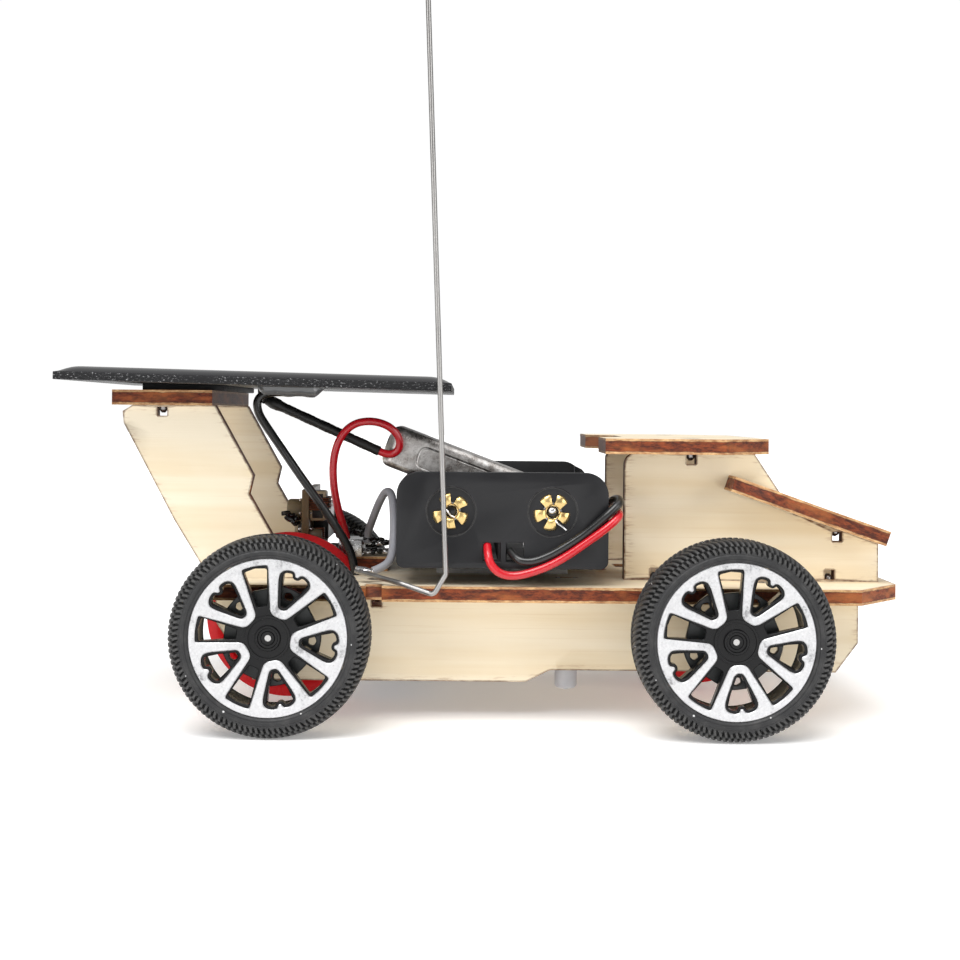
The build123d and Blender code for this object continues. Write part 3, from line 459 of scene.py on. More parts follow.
def stand_for(node, mesh, materials, centre=(0, 0, 0), smooth=35.0):
    """Turn a bmesh into the piece that stands for a CAD node, on its body."""
    finish_piece(f"{node}_detail", mesh, BODY_OF[node], materials, [node], centre,
                 smooth)


def refine(node, material, width):
    """A copy of a CAD node with rounded edges stands for it."""
    mesh = cad_copy(node)
    round_edges(mesh, width)
    stand_for(node, mesh, [material])


def dress(node, material):
    """A CAD node whose shape is right gets its material."""
    data = frame["nodes"][node].data
    data.materials.clear()
    data.materials.append(material)


def soften(points, radius, steps=4):
    """Closed outline with its corners rounded; radius is one number or one for each corner."""
    count = len(points)
    radii = radius if isinstance(radius, (list, tuple)) else [radius] * count
    outline = []
    for index, here in enumerate(points):
        here = Vector(here)
        before = Vector(points[index - 1])
        after = Vector(points[(index + 1) % count])
        reach_in = min(radii[index], 0.45 * (before - here).length)
        reach_out = min(radii[index], 0.45 * (after - here).length)
        start = here + (before - here).normalized() * reach_in
        stop = here + (after - here).normalized() * reach_out
        if radii[index] <= 0:
            outline.append(here)
            continue
        for step in range(steps + 1):
            t = step / steps
            outline.append(start * (1 - t) ** 2 + here * 2 * t * (1 - t) + stop * t ** 2)
    return outline


def turned(points, angle):
    """The outline turned about the origin by an angle in degrees."""
    spin = Matrix.Rotation(math.radians(angle), 2)
    return [spin @ Vector(point) for point in points]


def ring_points(radius, count):
    """A circle about the origin."""
    return [Vector((radius * math.cos(TURN * i / count), radius * math.sin(TURN * i / count)))
            for i in range(count)]


def curve_point(p0, p1, p2, p3, t):
    """The Catmull-Rom point between p1, where t is 0, and p2, where it is 1."""
    return 0.5 * (2 * p1 + (p2 - p0) * t + (2 * p0 - 5 * p1 + 4 * p2 - p3) * t * t
                  + (3 * p1 - p0 - 3 * p2 + p3) * t ** 3)


def smooth_step(value, low, high):
    """0 at low and 1 at high, level at both; low may be the greater."""
    t = min(1.0, max(0.0, (value - low) / (high - low)))
    return t * t * (3 - 2 * t)


def area(loop):
    """Signed area, positive where the loop runs anticlockwise."""
    return sum(a.x * b.y - b.x * a.y for a, b in zip(loop, loop[1:] + loop[:1])) / 2


def moved_in(loop, distance):
    """The loop moved to its left by distance, corners mitred."""
    result = []
    for index, here in enumerate(loop):
        before = loop[index - 1]
        after = loop[(index + 1) % len(loop)]
        first = (here - before).normalized()
        second = (after - here).normalized()
        left = Vector((-first.y - second.y, first.x + second.x))
        length = max(left.length, 0.6)
        result.append(here + left / length * distance * min(1.6, 2 / length))
    return result


def skin(mesh, rows, material=0, ends=True):
    """Faces between neighbouring loops of vertices; ends closes the tube."""
    for first, second in zip(rows, rows[1:]):
        for index in range(len(first)):
            ahead = (index + 1) % len(first)
            face = mesh.faces.new((first[index], first[ahead], second[ahead], second[index]))
            face.material_index = material
    if ends:
        for row in (rows[0], rows[-1]):
            mesh.faces.new(row).material_index = material


def add_sheet(mesh, outer, holes, low, high, chamfer, place, material=0):
    """A flat sheet with holes between two depths, with chamfered arrises, added through place(u, v, w)."""
    loops = [outer if area(outer) > 0 else outer[::-1]]
    loops += [hole if area(hole) < 0 else hole[::-1] for hole in holes]
    inner = [moved_in(loop, chamfer) for loop in loops]
    levels = ((inner, low), (loops, low + chamfer), (loops, high - chamfer), (inner, high))
    rows = [[[mesh.verts.new(place(point.x, point.y, w)) for point in loop] for loop in group]
            for group, w in levels]
    for lower, upper in zip(rows, rows[1:]):
        for low_loop, high_loop in zip(lower, upper):
            for index in range(len(low_loop)):
                ahead = (index + 1) % len(low_loop)
                face = mesh.faces.new((low_loop[index], low_loop[ahead], high_loop[ahead], high_loop[index]))
                face.material_index = material
    triangles = tessellate_polygon([[point.to_3d() for point in loop] for loop in inner])
    for row in (rows[0], rows[-1]):
        flat = [vertex for loop in row for vertex in loop]
        for triangle in triangles:
            if len(set(triangle)) == 3:
                face = mesh.faces.new([flat[corner] for corner in triangle])
                face.material_index = material


def add_lathe(mesh, profile, place, material=0, segments=96, closed=False):
    """A profile of (radius, depth) points turned about the axis; a radius of 0 closes an end."""
    rows = []
    for radius, depth in profile:
        if radius <= 0:
            rows.append([mesh.verts.new(place(0, 0, depth))])
        else:
            rows.append([mesh.verts.new(place(point.x, point.y, depth))
                         for point in ring_points(radius, segments)])
    pairs = list(zip(rows, rows[1:])) + ([(rows[-1], rows[0])] if closed else [])
    for first, second in pairs:
        for index in range(segments):
            ahead = (index + 1) % segments
            corners = [first[index % len(first)], first[ahead % len(first)],
                       second[ahead % len(second)], second[index % len(second)]]
            corners = list(dict.fromkeys(corners))
            if len(corners) > 2:
                mesh.faces.new(corners).material_index = material


def add_block(mesh, low, high, material=0, radius=0.1):
    """A box between two corners in millimetres, its edges rounded."""
    made = bmesh.ops.create_cube(mesh, size=1.0)["verts"]
    low, high = Vector(low), Vector(high)
    for vertex in made:
        vertex.co = (low + Vector([(high - low)[i] * (vertex.co[i] + 0.5) for i in range(3)])) * MM
    faces = {face for vertex in made for face in vertex.link_faces}
    edges = {edge for face in faces for edge in face.edges}
    rounded = bmesh.ops.bevel(mesh, geom=list(edges), offset=radius * MM, segments=2, profile=0.5,
                              affect="EDGES", clamp_overlap=True)["faces"]
    for face in list(faces) + rounded:
        if face.is_valid:
            face.material_index = material


def along(start, heading):
    """place(u, v, w) about an axis that starts at a point and runs along heading."""
    start = Vector(start)
    w_axis = Vector(heading).normalized()
    helper = Vector((0, 0, 1)) if abs(w_axis.z) < 0.9 else Vector((1, 0, 0))
    u_axis = helper.cross(w_axis).normalized()
    v_axis = w_axis.cross(u_axis)
    return lambda u, v, w: (start + u_axis * u + v_axis * v + w_axis * w) * MM


def add_wire(mesh, points, radius, material=0, sides=10, smooth_steps=6):
    """A round wire along a smooth line through points, in millimetres, with rounded ends."""
    points = [Vector(point) for point in points]
    line = []
    for index in range(len(points) - 1):
        p0 = points[max(index - 1, 0)]
        p1, p2 = points[index], points[index + 1]
        p3 = points[min(index + 2, len(points) - 1)]
        for step in range(smooth_steps):
            line.append(curve_point(p0, p1, p2, p3, step / smooth_steps))
    line.append(points[-1])
    side = (line[1] - line[0]).orthogonal().normalized()
    rows = []
    for index, here in enumerate(line):
        heading = (line[min(index + 1, len(line) - 1)] - line[max(index - 1, 0)]).normalized()
        side = (side - heading * side.dot(heading)).normalized()
        other = heading.cross(side)
        width = radius * (0.55 if index in (0, len(line) - 1) else 1.0)
        rows.append([mesh.verts.new((here + side * width * math.cos(TURN * i / sides)
                                     + other * width * math.sin(TURN * i / sides)) * MM)
                     for i in range(sides)])
    skin(mesh, rows, material)


def add_blob(mesh, centre, size, material=0, seed=1, rough=0.12):
    """A lump such as solder; size is its three half-widths in millimetres."""
    chance = random.Random(seed)
    made = bmesh.ops.create_icosphere(mesh, subdivisions=3, radius=1.0)["verts"]
    waves = [(Vector([chance.uniform(-3, 3) for _ in range(3)]), chance.uniform(0, TURN)) for _ in range(5)]
    for vertex in made:
        swell = 1 + rough * sum(math.sin(wave.dot(vertex.co) + phase) for wave, phase in waves) / 3
        vertex.co = (Vector(centre) + Vector([vertex.co[i] * size[i] * swell for i in range(3)])) * MM
    for face in {face for vertex in made for face in vertex.link_faces}:
        face.material_index = material


# ---------------------------------------------------------------- leads, each a round curve along control points
def make_lead(node, points, diameter, material):
    """An insulated lead along control points, near the route of its CAD tube."""
    curve = bpy.data.curves.new(f"{node}_wire", "CURVE")
    curve.dimensions = "3D"
    spline = curve.splines.new("NURBS")
    spline.points.add(len(points) - 1)
    for control, point in zip(spline.points, points):
        control.co = (*mm(*point), 1.0)
    spline.order_u = 3
    spline.use_endpoint_u = True
    spline.resolution_u = 10
    curve.bevel_depth = diameter / 2 * MM
    curve.bevel_resolution = 5
    curve.use_fill_caps = True
    curve.materials.append(material)
    piece = bpy.data.objects.new(f"{node}_wire", curve)
    bpy.context.collection.objects.link(piece)
    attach(piece, "chassis")
    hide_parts(node)


PANEL_BLACK_ROUTE = [(-27.5, -13.0, 51.5), (-31.5, -13.1, 51.5), (-35.1, -13.0, 51.45), (-36.8, -13.0, 50.3),
                     (-36.6, -13.0, 48.1), (-35.2, -13.0, 45.9), (-32.3, -13.1, 41.8), (-29.4, -13.0, 37.6),
                     (-26.9, -13.1, 34.2), (-24.6, -13.1, 31.0), (-22.2, -13.2, 27.4), (-20.7, -13.4, 24.4),
                     (-20.3, -13.5, 20.8)]
PANEL_RED_ROUTE = [(-16.9, -8.6, 41.85), (-15.25, -8.6, 41.113), (-13.6, -9.0, 42.0), (-13.4, -9.4, 44.0),
                   (-15.1, -9.8, 46.1), (-18.2, -10.1, 47.0), (-21.3, -10.3, 46.4), (-23.5, -10.3, 44.0),
                   (-24.5, -10.2, 40.3), (-24.4, -9.9, 36.2), (-23.7, -9.4, 32.4), (-22.8, -8.2, 29.4),
                   (-22.3, -7.2, 27.2)]
GREY_ROUTE = [(-18.95, -6.2, 26.46), (-18.95, -6.2, 27.8), (-18.0, -8.0, 30.4), (-16.8, -10.2, 33.4),
              (-15.6, -12.2, 35.5), (-14.5, -14.0, 35.2), (-14.1, -16.0, 32.4), (-13.95, -18.0, 30.0),
              (-13.95, -20.0, 27.4), (-14.1, -22.0, 25.4), (-15.0, -23.7, 24.2), (-16.9, -24.4, 23.5)]
BATTERY_RED_ROUTE = [(0.9, -28.4, 28.0), (0.95, -30.1, 26.8), (1.4, -30.6, 25.2), (2.9, -30.6, 23.8),
                     (5.2, -30.6, 23.5), (8.2, -30.6, 24.3), (10.6, -30.6, 25.3), (12.9, -30.6, 26.6),
                     (15.2, -30.6, 28.2), (17.6, -30.6, 29.9), (19.7, -30.5, 31.5), (21.1, -29.7, 32.8),
                     (21.2, -27.0, 33.3), (20.9, -21.5, 32.8), (20.7, -14.0, 31.8), (20.7, -6.0, 30.0),
                     (20.7, -1.2, 27.0), (20.7, -1.0, 20.6)]
BATTERY_BLACK_ROUTE = [(4.4, -28.4, 27.2), (5.2, -30.2, 26.0), (7.6, -30.4, 25.6), (10.5, -30.4, 26.75),
                       (12.8, -30.4, 28.1), (15.2, -30.4, 29.65), (17.5, -30.4, 31.5), (19.6, -30.4, 33.4),
                       (21.2, -29.6, 34.8), (21.2, -27.0, 35.3), (20.9, -21.5, 34.9), (20.7, -14.0, 33.6),
                       (20.7, -6.0, 32.0), (20.7, 1.0, 30.4), (20.7, 2.0, 27.5), (20.7, 2.0, 20.6)]
make_lead("panel_lead_black", PANEL_BLACK_ROUTE, 1.4, BLACK_WIRE)
make_lead("panel_lead_red", PANEL_RED_ROUTE, 1.3, RED_WIRE)
make_lead("receiver_lead_grey", GREY_ROUTE, 1.3, GREY_WIRE)
make_lead("battery_lead_red", BATTERY_RED_ROUTE, 1.3, RED_WIRE)
make_lead("battery_lead_black", BATTERY_BLACK_ROUTE, 1.3, BLACK_WIRE)

# ---------------------------------------------------------------- plywood plates
ARRIS = 0.07                   # rounding of a plate's edges
OUTLINE_STEP = 0.9             # spacing of the points along an outline
RING_DEPTHS = (0.16, 0.42, 0.95, 1.7)     # how far inside the outline rows of points follow it
GRID_STEP = 2.2                # spacing of the grid of points further in
GRID_CLEARANCE = 2.4           # how far the grid keeps from the plate's walls
FLAT = 0.01                    # how far a face may lie off a plate's broad side


def split_edge(edge, step):
    """Divide an edge into equal parts near step long."""
    parts = max(1, round(edge.calc_length() / step))
    while parts > 1:
        edge = bmesh.utils.edge_split(edge, edge.verts[0], 1 / parts)[0]
        parts -= 1


def flat_points(whole, walls, outline, height, axes, ends):
    """Points inside one broad face of a plate: rows that follow its outline, and a grid."""
    u_axis, v_axis, normal = axes
    spots = []
    for edge in outline:
        first, second = (vertex.co for vertex in edge.verts)
        sideways = (second - first).normalized().cross(normal)
        for depth in RING_DEPTHS:
            for sign in (-1, 1):
                spots.append(((first + second) / 2 + sideways * sign * depth * MM, depth * 0.8))
    low_u, high_u, low_v, high_v = ends
    for i in range(int((high_u - low_u) / (GRID_STEP * MM)) + 1):
        for j in range(int((high_v - low_v) / (GRID_STEP * MM)) + 1):
            spot = (u_axis * (low_u + (i + 0.5) * GRID_STEP * MM)
                    + v_axis * (low_v + (j + 0.5) * GRID_STEP * MM) + normal * height)
            spots.append((spot, GRID_CLEARANCE))
    kept = []
    for spot, clearance in spots:
        if inside_face(whole, spot, normal) and walls.find_nearest(spot)[3] > clearance * MM:
            kept.append(spot)
    return kept


def inside_face(whole, spot, normal):
    """Whether the plate's surface passes through spot."""
    reach = 0.02 * MM
    return whole.ray_cast(spot + normal * reach, -normal, 2 * reach)[0] is not None


def fill_broad_side(mesh, whole, walls, outline, height, axes):
    """Cover one broad side with small triangles, fine near its outline."""
    u_axis, v_axis, normal = axes
    rim = list(dict.fromkeys(vertex for edge in outline for vertex in edge.verts))
    us = [vertex.co.dot(u_axis) for vertex in rim]
    vs = [vertex.co.dot(v_axis) for vertex in rim]
    inner = flat_points(whole, walls, outline, height, axes, (min(us), max(us), min(vs), max(vs)))
    spots = [vertex.co for vertex in rim] + inner
    numbers = {vertex: index for index, vertex in enumerate(rim)}
    flat = [Vector((spot.dot(u_axis), spot.dot(v_axis))) / MM for spot in spots]
    links = [tuple(numbers[vertex] for vertex in edge.verts) for edge in outline]
    points, _, triangles, sources, _, _ = delaunay_2d_cdt(flat, links, [], 0, 1e-4)
    corners = []
    for point, source in zip(points, sources):
        known = [index for index in source if index < len(rim)]
        if known:
            corners.append(rim[known[0]])
        else:
            corners.append(mesh.verts.new((u_axis * point.x + v_axis * point.y) * MM + normal * height))
    for triangle in triangles:
        trio = [corners[index] for index in triangle]
        centre = sum((vertex.co for vertex in trio), Vector()) / 3
        if len(set(trio)) == 3 and inside_face(whole, centre, normal):
            mesh.faces.new(trio)


def plywood(node, normal, face_material):
    """A laser-cut plate: pale faces that are scorched near their outline, and a charred edge."""
    normal = Vector(normal).normalized()
    u_axis = Vector((0, 0, 1)).cross(normal)
    u_axis = u_axis.normalized() if u_axis.length > 0.1 else Vector((1, 0, 0))
    axes = (u_axis, normal.cross(u_axis), normal)
    mesh = cad_copy(node)
    mesh.normal_update()
    heights = [vertex.co.dot(normal) for vertex in mesh.verts]
    low, high = min(heights), max(heights)
    whole = BVHTree.FromBMesh(mesh)
    broad = [face for face in mesh.faces if abs(face.normal.dot(normal)) > 0.999
             and min(abs(face.calc_center_median().dot(normal) - level) for level in (low, high)) < FLAT * MM]
    broad_set = set(broad)
    sides = [face for face in mesh.faces if face not in broad_set]
    walls = BVHTree.FromPolygons([vertex.co.copy() for vertex in mesh.verts],
                                 [[vertex.index for vertex in face.verts] for face in sides])

    def outline_edges():
        return [edge for edge in mesh.edges if sum(face in broad_set for face in edge.link_faces) == 1]

    for edge in outline_edges():
        split_edge(edge, OUTLINE_STEP * MM)
    outlines = [[edge for edge in outline_edges() if abs(edge.verts[0].co.dot(normal) - level) < FLAT * MM]
                for level in (low, high)]
    bmesh.ops.delete(mesh, geom=broad, context="FACES_ONLY")
    for outline, level in zip(outlines, (low, high)):
        fill_broad_side(mesh, whole, walls, outline, level, axes)
    loose = [edge for edge in mesh.edges if not edge.link_faces]
    bmesh.ops.delete(mesh, geom=loose, context="EDGES")
    bmesh.ops.recalc_face_normals(mesh, faces=mesh.faces)
    rims = [edge for outline in outlines for edge in outline if edge.is_valid and len(edge.link_faces) == 2
            and edge.calc_face_angle(0) > math.radians(28)]
    bmesh.ops.bevel(mesh, geom=rims, offset=ARRIS * MM, segments=1, profile=0.5, affect="EDGES",
                    clamp_overlap=True)
    border = mesh.verts.layers.float.new("border")
    depth = mesh.verts.layers.float.new("depth")
    flow = mesh.verts.layers.float_vector.new("flow")
    for vertex in mesh.verts:
        height = vertex.co.dot(normal)
        vertex[border] = walls.find_nearest(vertex.co)[3] / MM
        vertex[depth] = (height - low) / (high - low)
        vertex[flow] = vertex.co + normal * height * 2.0
    mesh.normal_update()
    for face in mesh.faces:
        face.material_index = 0 if abs(face.normal.dot(normal)) > 0.95 else 1
    stand_for(node, mesh, [face_material, EDGE], smooth=25.0)


HOOD_SLOPE = math.radians(19.0)
PLATES = [("deck", (0, 0, 1), WOOD), ("wing_board", (0, 0, 1), WOOD), ("roof", (0, 0, 1), WOOD),
          ("switch_pad", (0, 0, 1), WOOD),
          ("hood", (math.sin(HOOD_SLOPE), 0, math.cos(HOOD_SLOPE)), WOOD)]
for side_name in ("right", "left"):
    PLATES += [(f"{side_name}_skirt", (0, 1, 0), WOOD), (f"{side_name}_post", (0, 1, 0), WOOD),
               (f"{side_name}_cabin_plate", (0, 1, 0), WOOD_CABIN)]
for node, normal, face_material in PLATES:
    plywood(node, normal, face_material)

# ---------------------------------------------------------------- wheels
TRACK_OUTER = 40.0
RIM_INSET = 0.5
WHEEL_WIDTH = 9.0
RIM_RADIUS = 11.75
PETALS = 5
SILVER_THICK = 0.32
BODY_THICK = 1.5
AXLE_Z = 15.0


def wheel_place(side):
    """place(u, v, w) for a wheel: w runs inwards from the outer face of its rim."""
    return lambda u, v, w: Vector((u, side * (TRACK_OUTER - RIM_INSET - w), v)) * MM


def star_opening():
    """Outline of the opening that leaves five V-shaped petals joined to a ring."""
    ring_inner = 10.75
    half_window = 10.7
    outline = []
    foot = [(3.35, -1.15), (3.35, 1.15)]
    for petal in range(PETALS):
        angle = 360 / PETALS * petal
        middle = angle + 180 / PETALS
        outline += turned(foot, angle)
        arc = [middle - half_window + 2 * half_window * step / 6 for step in range(7)]
        outline += [Vector((ring_inner, 0)) @ Matrix.Rotation(-math.radians(a), 2) for a in arc]
    radii = []
    for petal in range(PETALS):
        radii += [0.85, 0.85, 0.5, 0, 0, 0, 0, 0, 0.5]
    return soften(outline, radii)


def heart(shrink=0.0):
    """Window inside a petal, with a small tooth at its outer end."""
    half = [(4.6, 0.6), (9.2, 2.6), (10.15, 2.05), (10.5, 1.05), (10.38, 0.5), (9.85, 0.17)]
    points = [(x, -y) for x, y in half] + [(x, y) for x, y in half[::-1]]
    radii = [0.6, 1.3, 0.8, 0.5, 0.2, 0.12]
    outline = soften(points, radii + radii[::-1])
    if shrink:
        loop = outline if area(outline) > 0 else outline[::-1]
        outline = moved_in(loop, shrink)
    return outline


def gap_window():
    """See-through window of the black centre, between two petals."""
    return soften([(4.7, -0.75), (10.1, -1.75), (10.4, 0), (10.1, 1.75), (4.7, 0.75)],
                  [0.3, 0.4, 0.1, 0.4, 0.3])


def make_wheel_centre(end, side_name, side, axle_x, phase):
    """Black spoked centre with a bright silver face, a brake-like disc and a stepped hub."""
    place = wheel_place(side)
    step = 360 / PETALS
    mesh = bmesh.new()
    silver_holes = [turned(star_opening(), phase)]
    silver_holes += [turned(heart(), phase + step * k) for k in range(PETALS)]
    add_sheet(mesh, ring_points(RIM_RADIUS, 180), silver_holes, 0.0, SILVER_THICK, 0.12, place, 0)
    body_holes = [turned(heart(0.42), phase + step * k) for k in range(PETALS)]
    body_holes += [turned(gap_window(), phase + step * (k + 0.5)) for k in range(PETALS)]
    add_sheet(mesh, ring_points(RIM_RADIUS - 0.1, 180), body_holes, SILVER_THICK + 0.01,
              SILVER_THICK + BODY_THICK, 0.1, place, 1)
    back = WHEEL_WIDTH - RIM_INSET - 0.2
    barrel = [(RIM_RADIUS - 0.05, 0.45), (RIM_RADIUS - 0.05, back), (10.9, back), (10.75, back - 0.35),
              (10.95, back - 0.8), (11.05, 1.5), (11.0, 0.5)]
    add_lathe(mesh, barrel, place, 1, 144, closed=True)
    hub = [(0.46, 0.28), (0.5, 0.12), (0.95, 0.1), (1.08, 0.24), (1.42, 0.24), (1.54, -0.06), (1.8, -0.06),
           (1.92, 0.2), (1.98, 0.55), (2.8, 0.62), (2.95, 0.14), (3.3, 0.14), (3.45, 0.7), (3.6, 1.2),
           (3.6, back), (1.03, back), (1.03, 0.31), (0.46, 0.3)]
    add_lathe(mesh, hub, place, 1, 72, closed=True)
    disc_low, disc_high = 3.3, 4.2
    slots = [turned(soften([(5.75, -0.55), (6.55, -0.75), (6.95, 0), (6.55, 0.75), (5.75, 0.55)], 0.3),
                    phase + step * k) for k in range(PETALS)]
    notches = []
    for k in range(PETALS):
        middle = phase + step * k
        notches += turned([(6.6, -2.6), (7.45, -2.0), (7.6, 0), (7.45, 2.0), (6.6, 2.6)], middle)
        notches += turned([(6.9, -1.1), (6.9, 1.1)], middle + step / 2)
    add_sheet(mesh, soften(notches, 0.5, 3), slots + [ring_points(3.5, 48)], disc_low, disc_high, 0.12,
              place, 2)
    rib = [(3.2, -0.7), (10.9, -0.35), (10.9, 0.35), (3.2, 0.7)]
    for k in range(PETALS):
        for lean in (14, -14):
            add_sheet(mesh, turned(rib, phase + step * k + lean), [], SILVER_THICK + 0.4,
                      SILVER_THICK + BODY_THICK + 0.9, 0.1, place, 1)
    stand_for(f"{end}_{side_name}_rim", mesh, [SILVER, WHEEL_BLACK, DISC_GREY], (axle_x, 0, AXLE_Z), 32.0)


LUGS = 104
TREAD_DEPTH = 0.42
LUG_SAMPLES = 7
TYRE_OUTLINE = [(0.0, 15.0), (1.7, 14.97), (3.1, 14.84), (3.9, 14.4), (4.28, 13.7), (4.42, 13.2),
                (4.5, 12.75), (4.44, 12.3), (4.2, 11.95), (4.0, 11.78)]


def tyre_profile():
    """(y, radius) points from one bead over the crown to the other."""
    half = []
    points = [Vector(point) for point in TYRE_OUTLINE]
    points = [Vector((-points[1].x, points[1].y))] + points + [2 * points[-1] - points[-2]]
    for index in range(1, len(points) - 2):
        p0, p1, p2, p3 = points[index - 1:index + 3]
        half += [curve_point(p0, p1, p2, p3, step / 4) for step in range(4)]
    half.append(Vector(TYRE_OUTLINE[-1]))
    return [Vector((-point.x, point.y)) for point in half[:0:-1]] + half


def tyre_mesh():
    """Round-shouldered tyre: slanted lugs run over the crown and shoulders, and the walls are smooth."""
    profile = tyre_profile()
    columns = LUGS * LUG_SAMPLES
    lengths = [0.0]
    for first, second in zip(profile, profile[1:]):
        lengths.append(lengths[-1] + (second - first).length)
    middle = lengths[-1] / 2
    mesh = bmesh.new()
    raised = mesh.verts.layers.float.new("raised")
    rows = []
    for column in range(columns):
        angle = TURN * column / columns
        row = []
        for index, point in enumerate(profile):
            before = profile[max(index - 1, 0)]
            after = profile[min(index + 1, len(profile) - 1)]
            tangent = (after - before).normalized()
            outward = Vector((-tangent.y, tangent.x))
            from_crown = lengths[index] - middle
            shift = 0.38 * abs(from_crown) + 0.5 * (from_crown > 0) + 0.5 * (abs(from_crown) > 4.4)
            phase = (LUGS * column / columns + shift) % 1.0
            lug_number = int(LUGS * column / columns + shift) % 4
            wall_start = 13.05 + (0.25 if lug_number % 2 else 0.0)
            zone = smooth_step(point.y, wall_start, wall_start + 0.35)
            lug = smooth_step(abs(phase - 0.5), 0.36, 0.25)
            centre_groove = smooth_step(abs(from_crown), 0.55, 0.3)
            depth = TREAD_DEPTH * zone * max(1 - lug, centre_groove * 0.8)
            bead = 0.1 * (smooth_step(abs(point.y - 12.95), 0.16, 0.04)
                          + smooth_step(abs(point.y - 12.2), 0.12, 0.03))
            spot = point - outward * (depth if outward.y > -0.3 else 0.0) - outward * bead
            vertex = mesh.verts.new(mm(spot.y * math.cos(angle), spot.x, spot.y * math.sin(angle)))
            # raised steers the rubber's painted highlight on the lugs and its painted shade in the grooves.
            vertex[raised] = 0.5 + 0.5 * zone * lug - 0.5 * depth / TREAD_DEPTH
            row.append(vertex)
        rows.append(row)
    skin(mesh, rows + rows[:1], ends=False)
    bmesh.ops.recalc_face_normals(mesh, faces=mesh.faces)
    data = bpy.data.meshes.new("tyre")
    mesh.to_mesh(data)
    mesh.free()
    return data


def make_tyres():
    """Four tyres share one mesh."""
    data = tyre_mesh()
    for end, axle_x in AXLES:
        for side_name, side in SIDES:
            node = f"{end}_{side_name}_tyre"
            middle = (axle_x, side * (TRACK_OUTER - WHEEL_WIDTH / 2), AXLE_Z)
            place_mesh(f"{node}_detail", data, BODY_OF[node], [RUBBER], [node], middle,
                       38, 0 if side < 0 else math.pi)


AXLES = [("rear", -31.4), ("front", 37.5)]
SIDES = [("right", -1), ("left", 1)]
PETAL_PHASE = {"rear": -7.0, "front": -13.0}
for end, axle_x in AXLES:
    for side_name, side in SIDES:
        make_wheel_centre(end, side_name, side, axle_x, PETAL_PHASE[end])
    refine(f"{end}_gear", RED_PLASTIC, 0.06)
    refine(f"{end}_spacers", WHITE_PLASTIC, 0.15)
    dress(f"{end}_axle", STEEL)
make_tyres()

# ---------------------------------------------------------------- solar panel
PANEL_REAR = -65.8
PANEL_BOTTOM = 53.0
PANEL_TILT = math.radians(1.22)
PANEL_SIZE = (61.0, 60.0)
BOARD_THICK = 1.2
RESIN_THICK = 1.0
DOME_EDGE = 3.6     # how far the resin's rounded border reaches in
CELL_PITCH = 5.6
CELL_WIDTH = 5.2
CELL_COUNT = 10


def on_panel(u, v, w):
    """A point u along, v across and w above the panel's underside."""
    along_panel = Vector((math.cos(PANEL_TILT), 0, -math.sin(PANEL_TILT)))
    above = Vector((math.sin(PANEL_TILT), 0, math.cos(PANEL_TILT)))
    return (Vector((PANEL_REAR, 0, PANEL_BOTTOM)) + along_panel * u + Vector((0, v, 0)) + above * w) * MM


def make_resin():
    """Domed resin: level in the middle, rolling down to the board on all four sides."""
    first_cell = PANEL_REAR + PANEL_SIZE[0] / 2 - CELL_PITCH * CELL_COUNT / 2
    material = cast_resin(first_cell, CELL_PITCH, CELL_WIDTH, CELL_COUNT)
    mesh = bmesh.new()
    top = mesh.verts.layers.float.new("top")
    inset = 0.22
    steps = [DOME_EDGE * (i / 9) ** 1.7 for i in range(10)]
    spans = []
    for size in PANEL_SIZE:
        inner = [inset + DOME_EDGE + (size - 2 * inset - 2 * DOME_EDGE) * i / 40 for i in range(1, 40)]
        low = [inset + step for step in steps]
        spans.append(low + inner + [size - value for value in low[::-1]])
    rows = []
    for u in spans[0]:
        row = []
        for v in spans[1]:
            border_u = min(u, PANEL_SIZE[0] - u) - inset
            border_v = min(v, PANEL_SIZE[1] - v) - inset
            near = [min(1.0, max(0.0, border / DOME_EDGE)) for border in (border_u, border_v)]
            rise = [1 - (1 - value) ** 2.4 for value in near]
            height = BOARD_THICK + RESIN_THICK * (0.04 + 0.94 * rise[0] * rise[1])
            vertex = mesh.verts.new(on_panel(u, v - PANEL_SIZE[1] / 2, height))
            vertex[top] = min(near)
            row.append(vertex)
        rows.append(row)
    for first, second in zip(rows, rows[1:]):
        for index in range(len(first) - 1):
            mesh.faces.new((first[index], second[index], second[index + 1], first[index + 1]))
    rim = [edge for edge in mesh.edges if len(edge.link_faces) == 1]
    made = bmesh.ops.extrude_edge_only(mesh, edges=rim)["geom"]
    skirt = [item for item in made if isinstance(item, bmesh.types.BMVert)]
    drop = on_panel(0, 0, BOARD_THICK - 0.02) - on_panel(0, 0, BOARD_THICK + 0.04)
    for vertex in skirt:
        vertex.co += drop
    bmesh.ops.holes_fill(mesh, edges=[edge for edge in mesh.edges if len(edge.link_faces) == 1])
    stand_for("panel_resin", mesh, [material])


def make_panel():
    """The laminate, the resin over the cells, and the tape below."""
    refine("panel_board", LAMINATE, 0.08)
    make_resin()
    dress("solar_cells", SILICON)
    refine("wing_tape", BLACK_FOAM, 0.15)


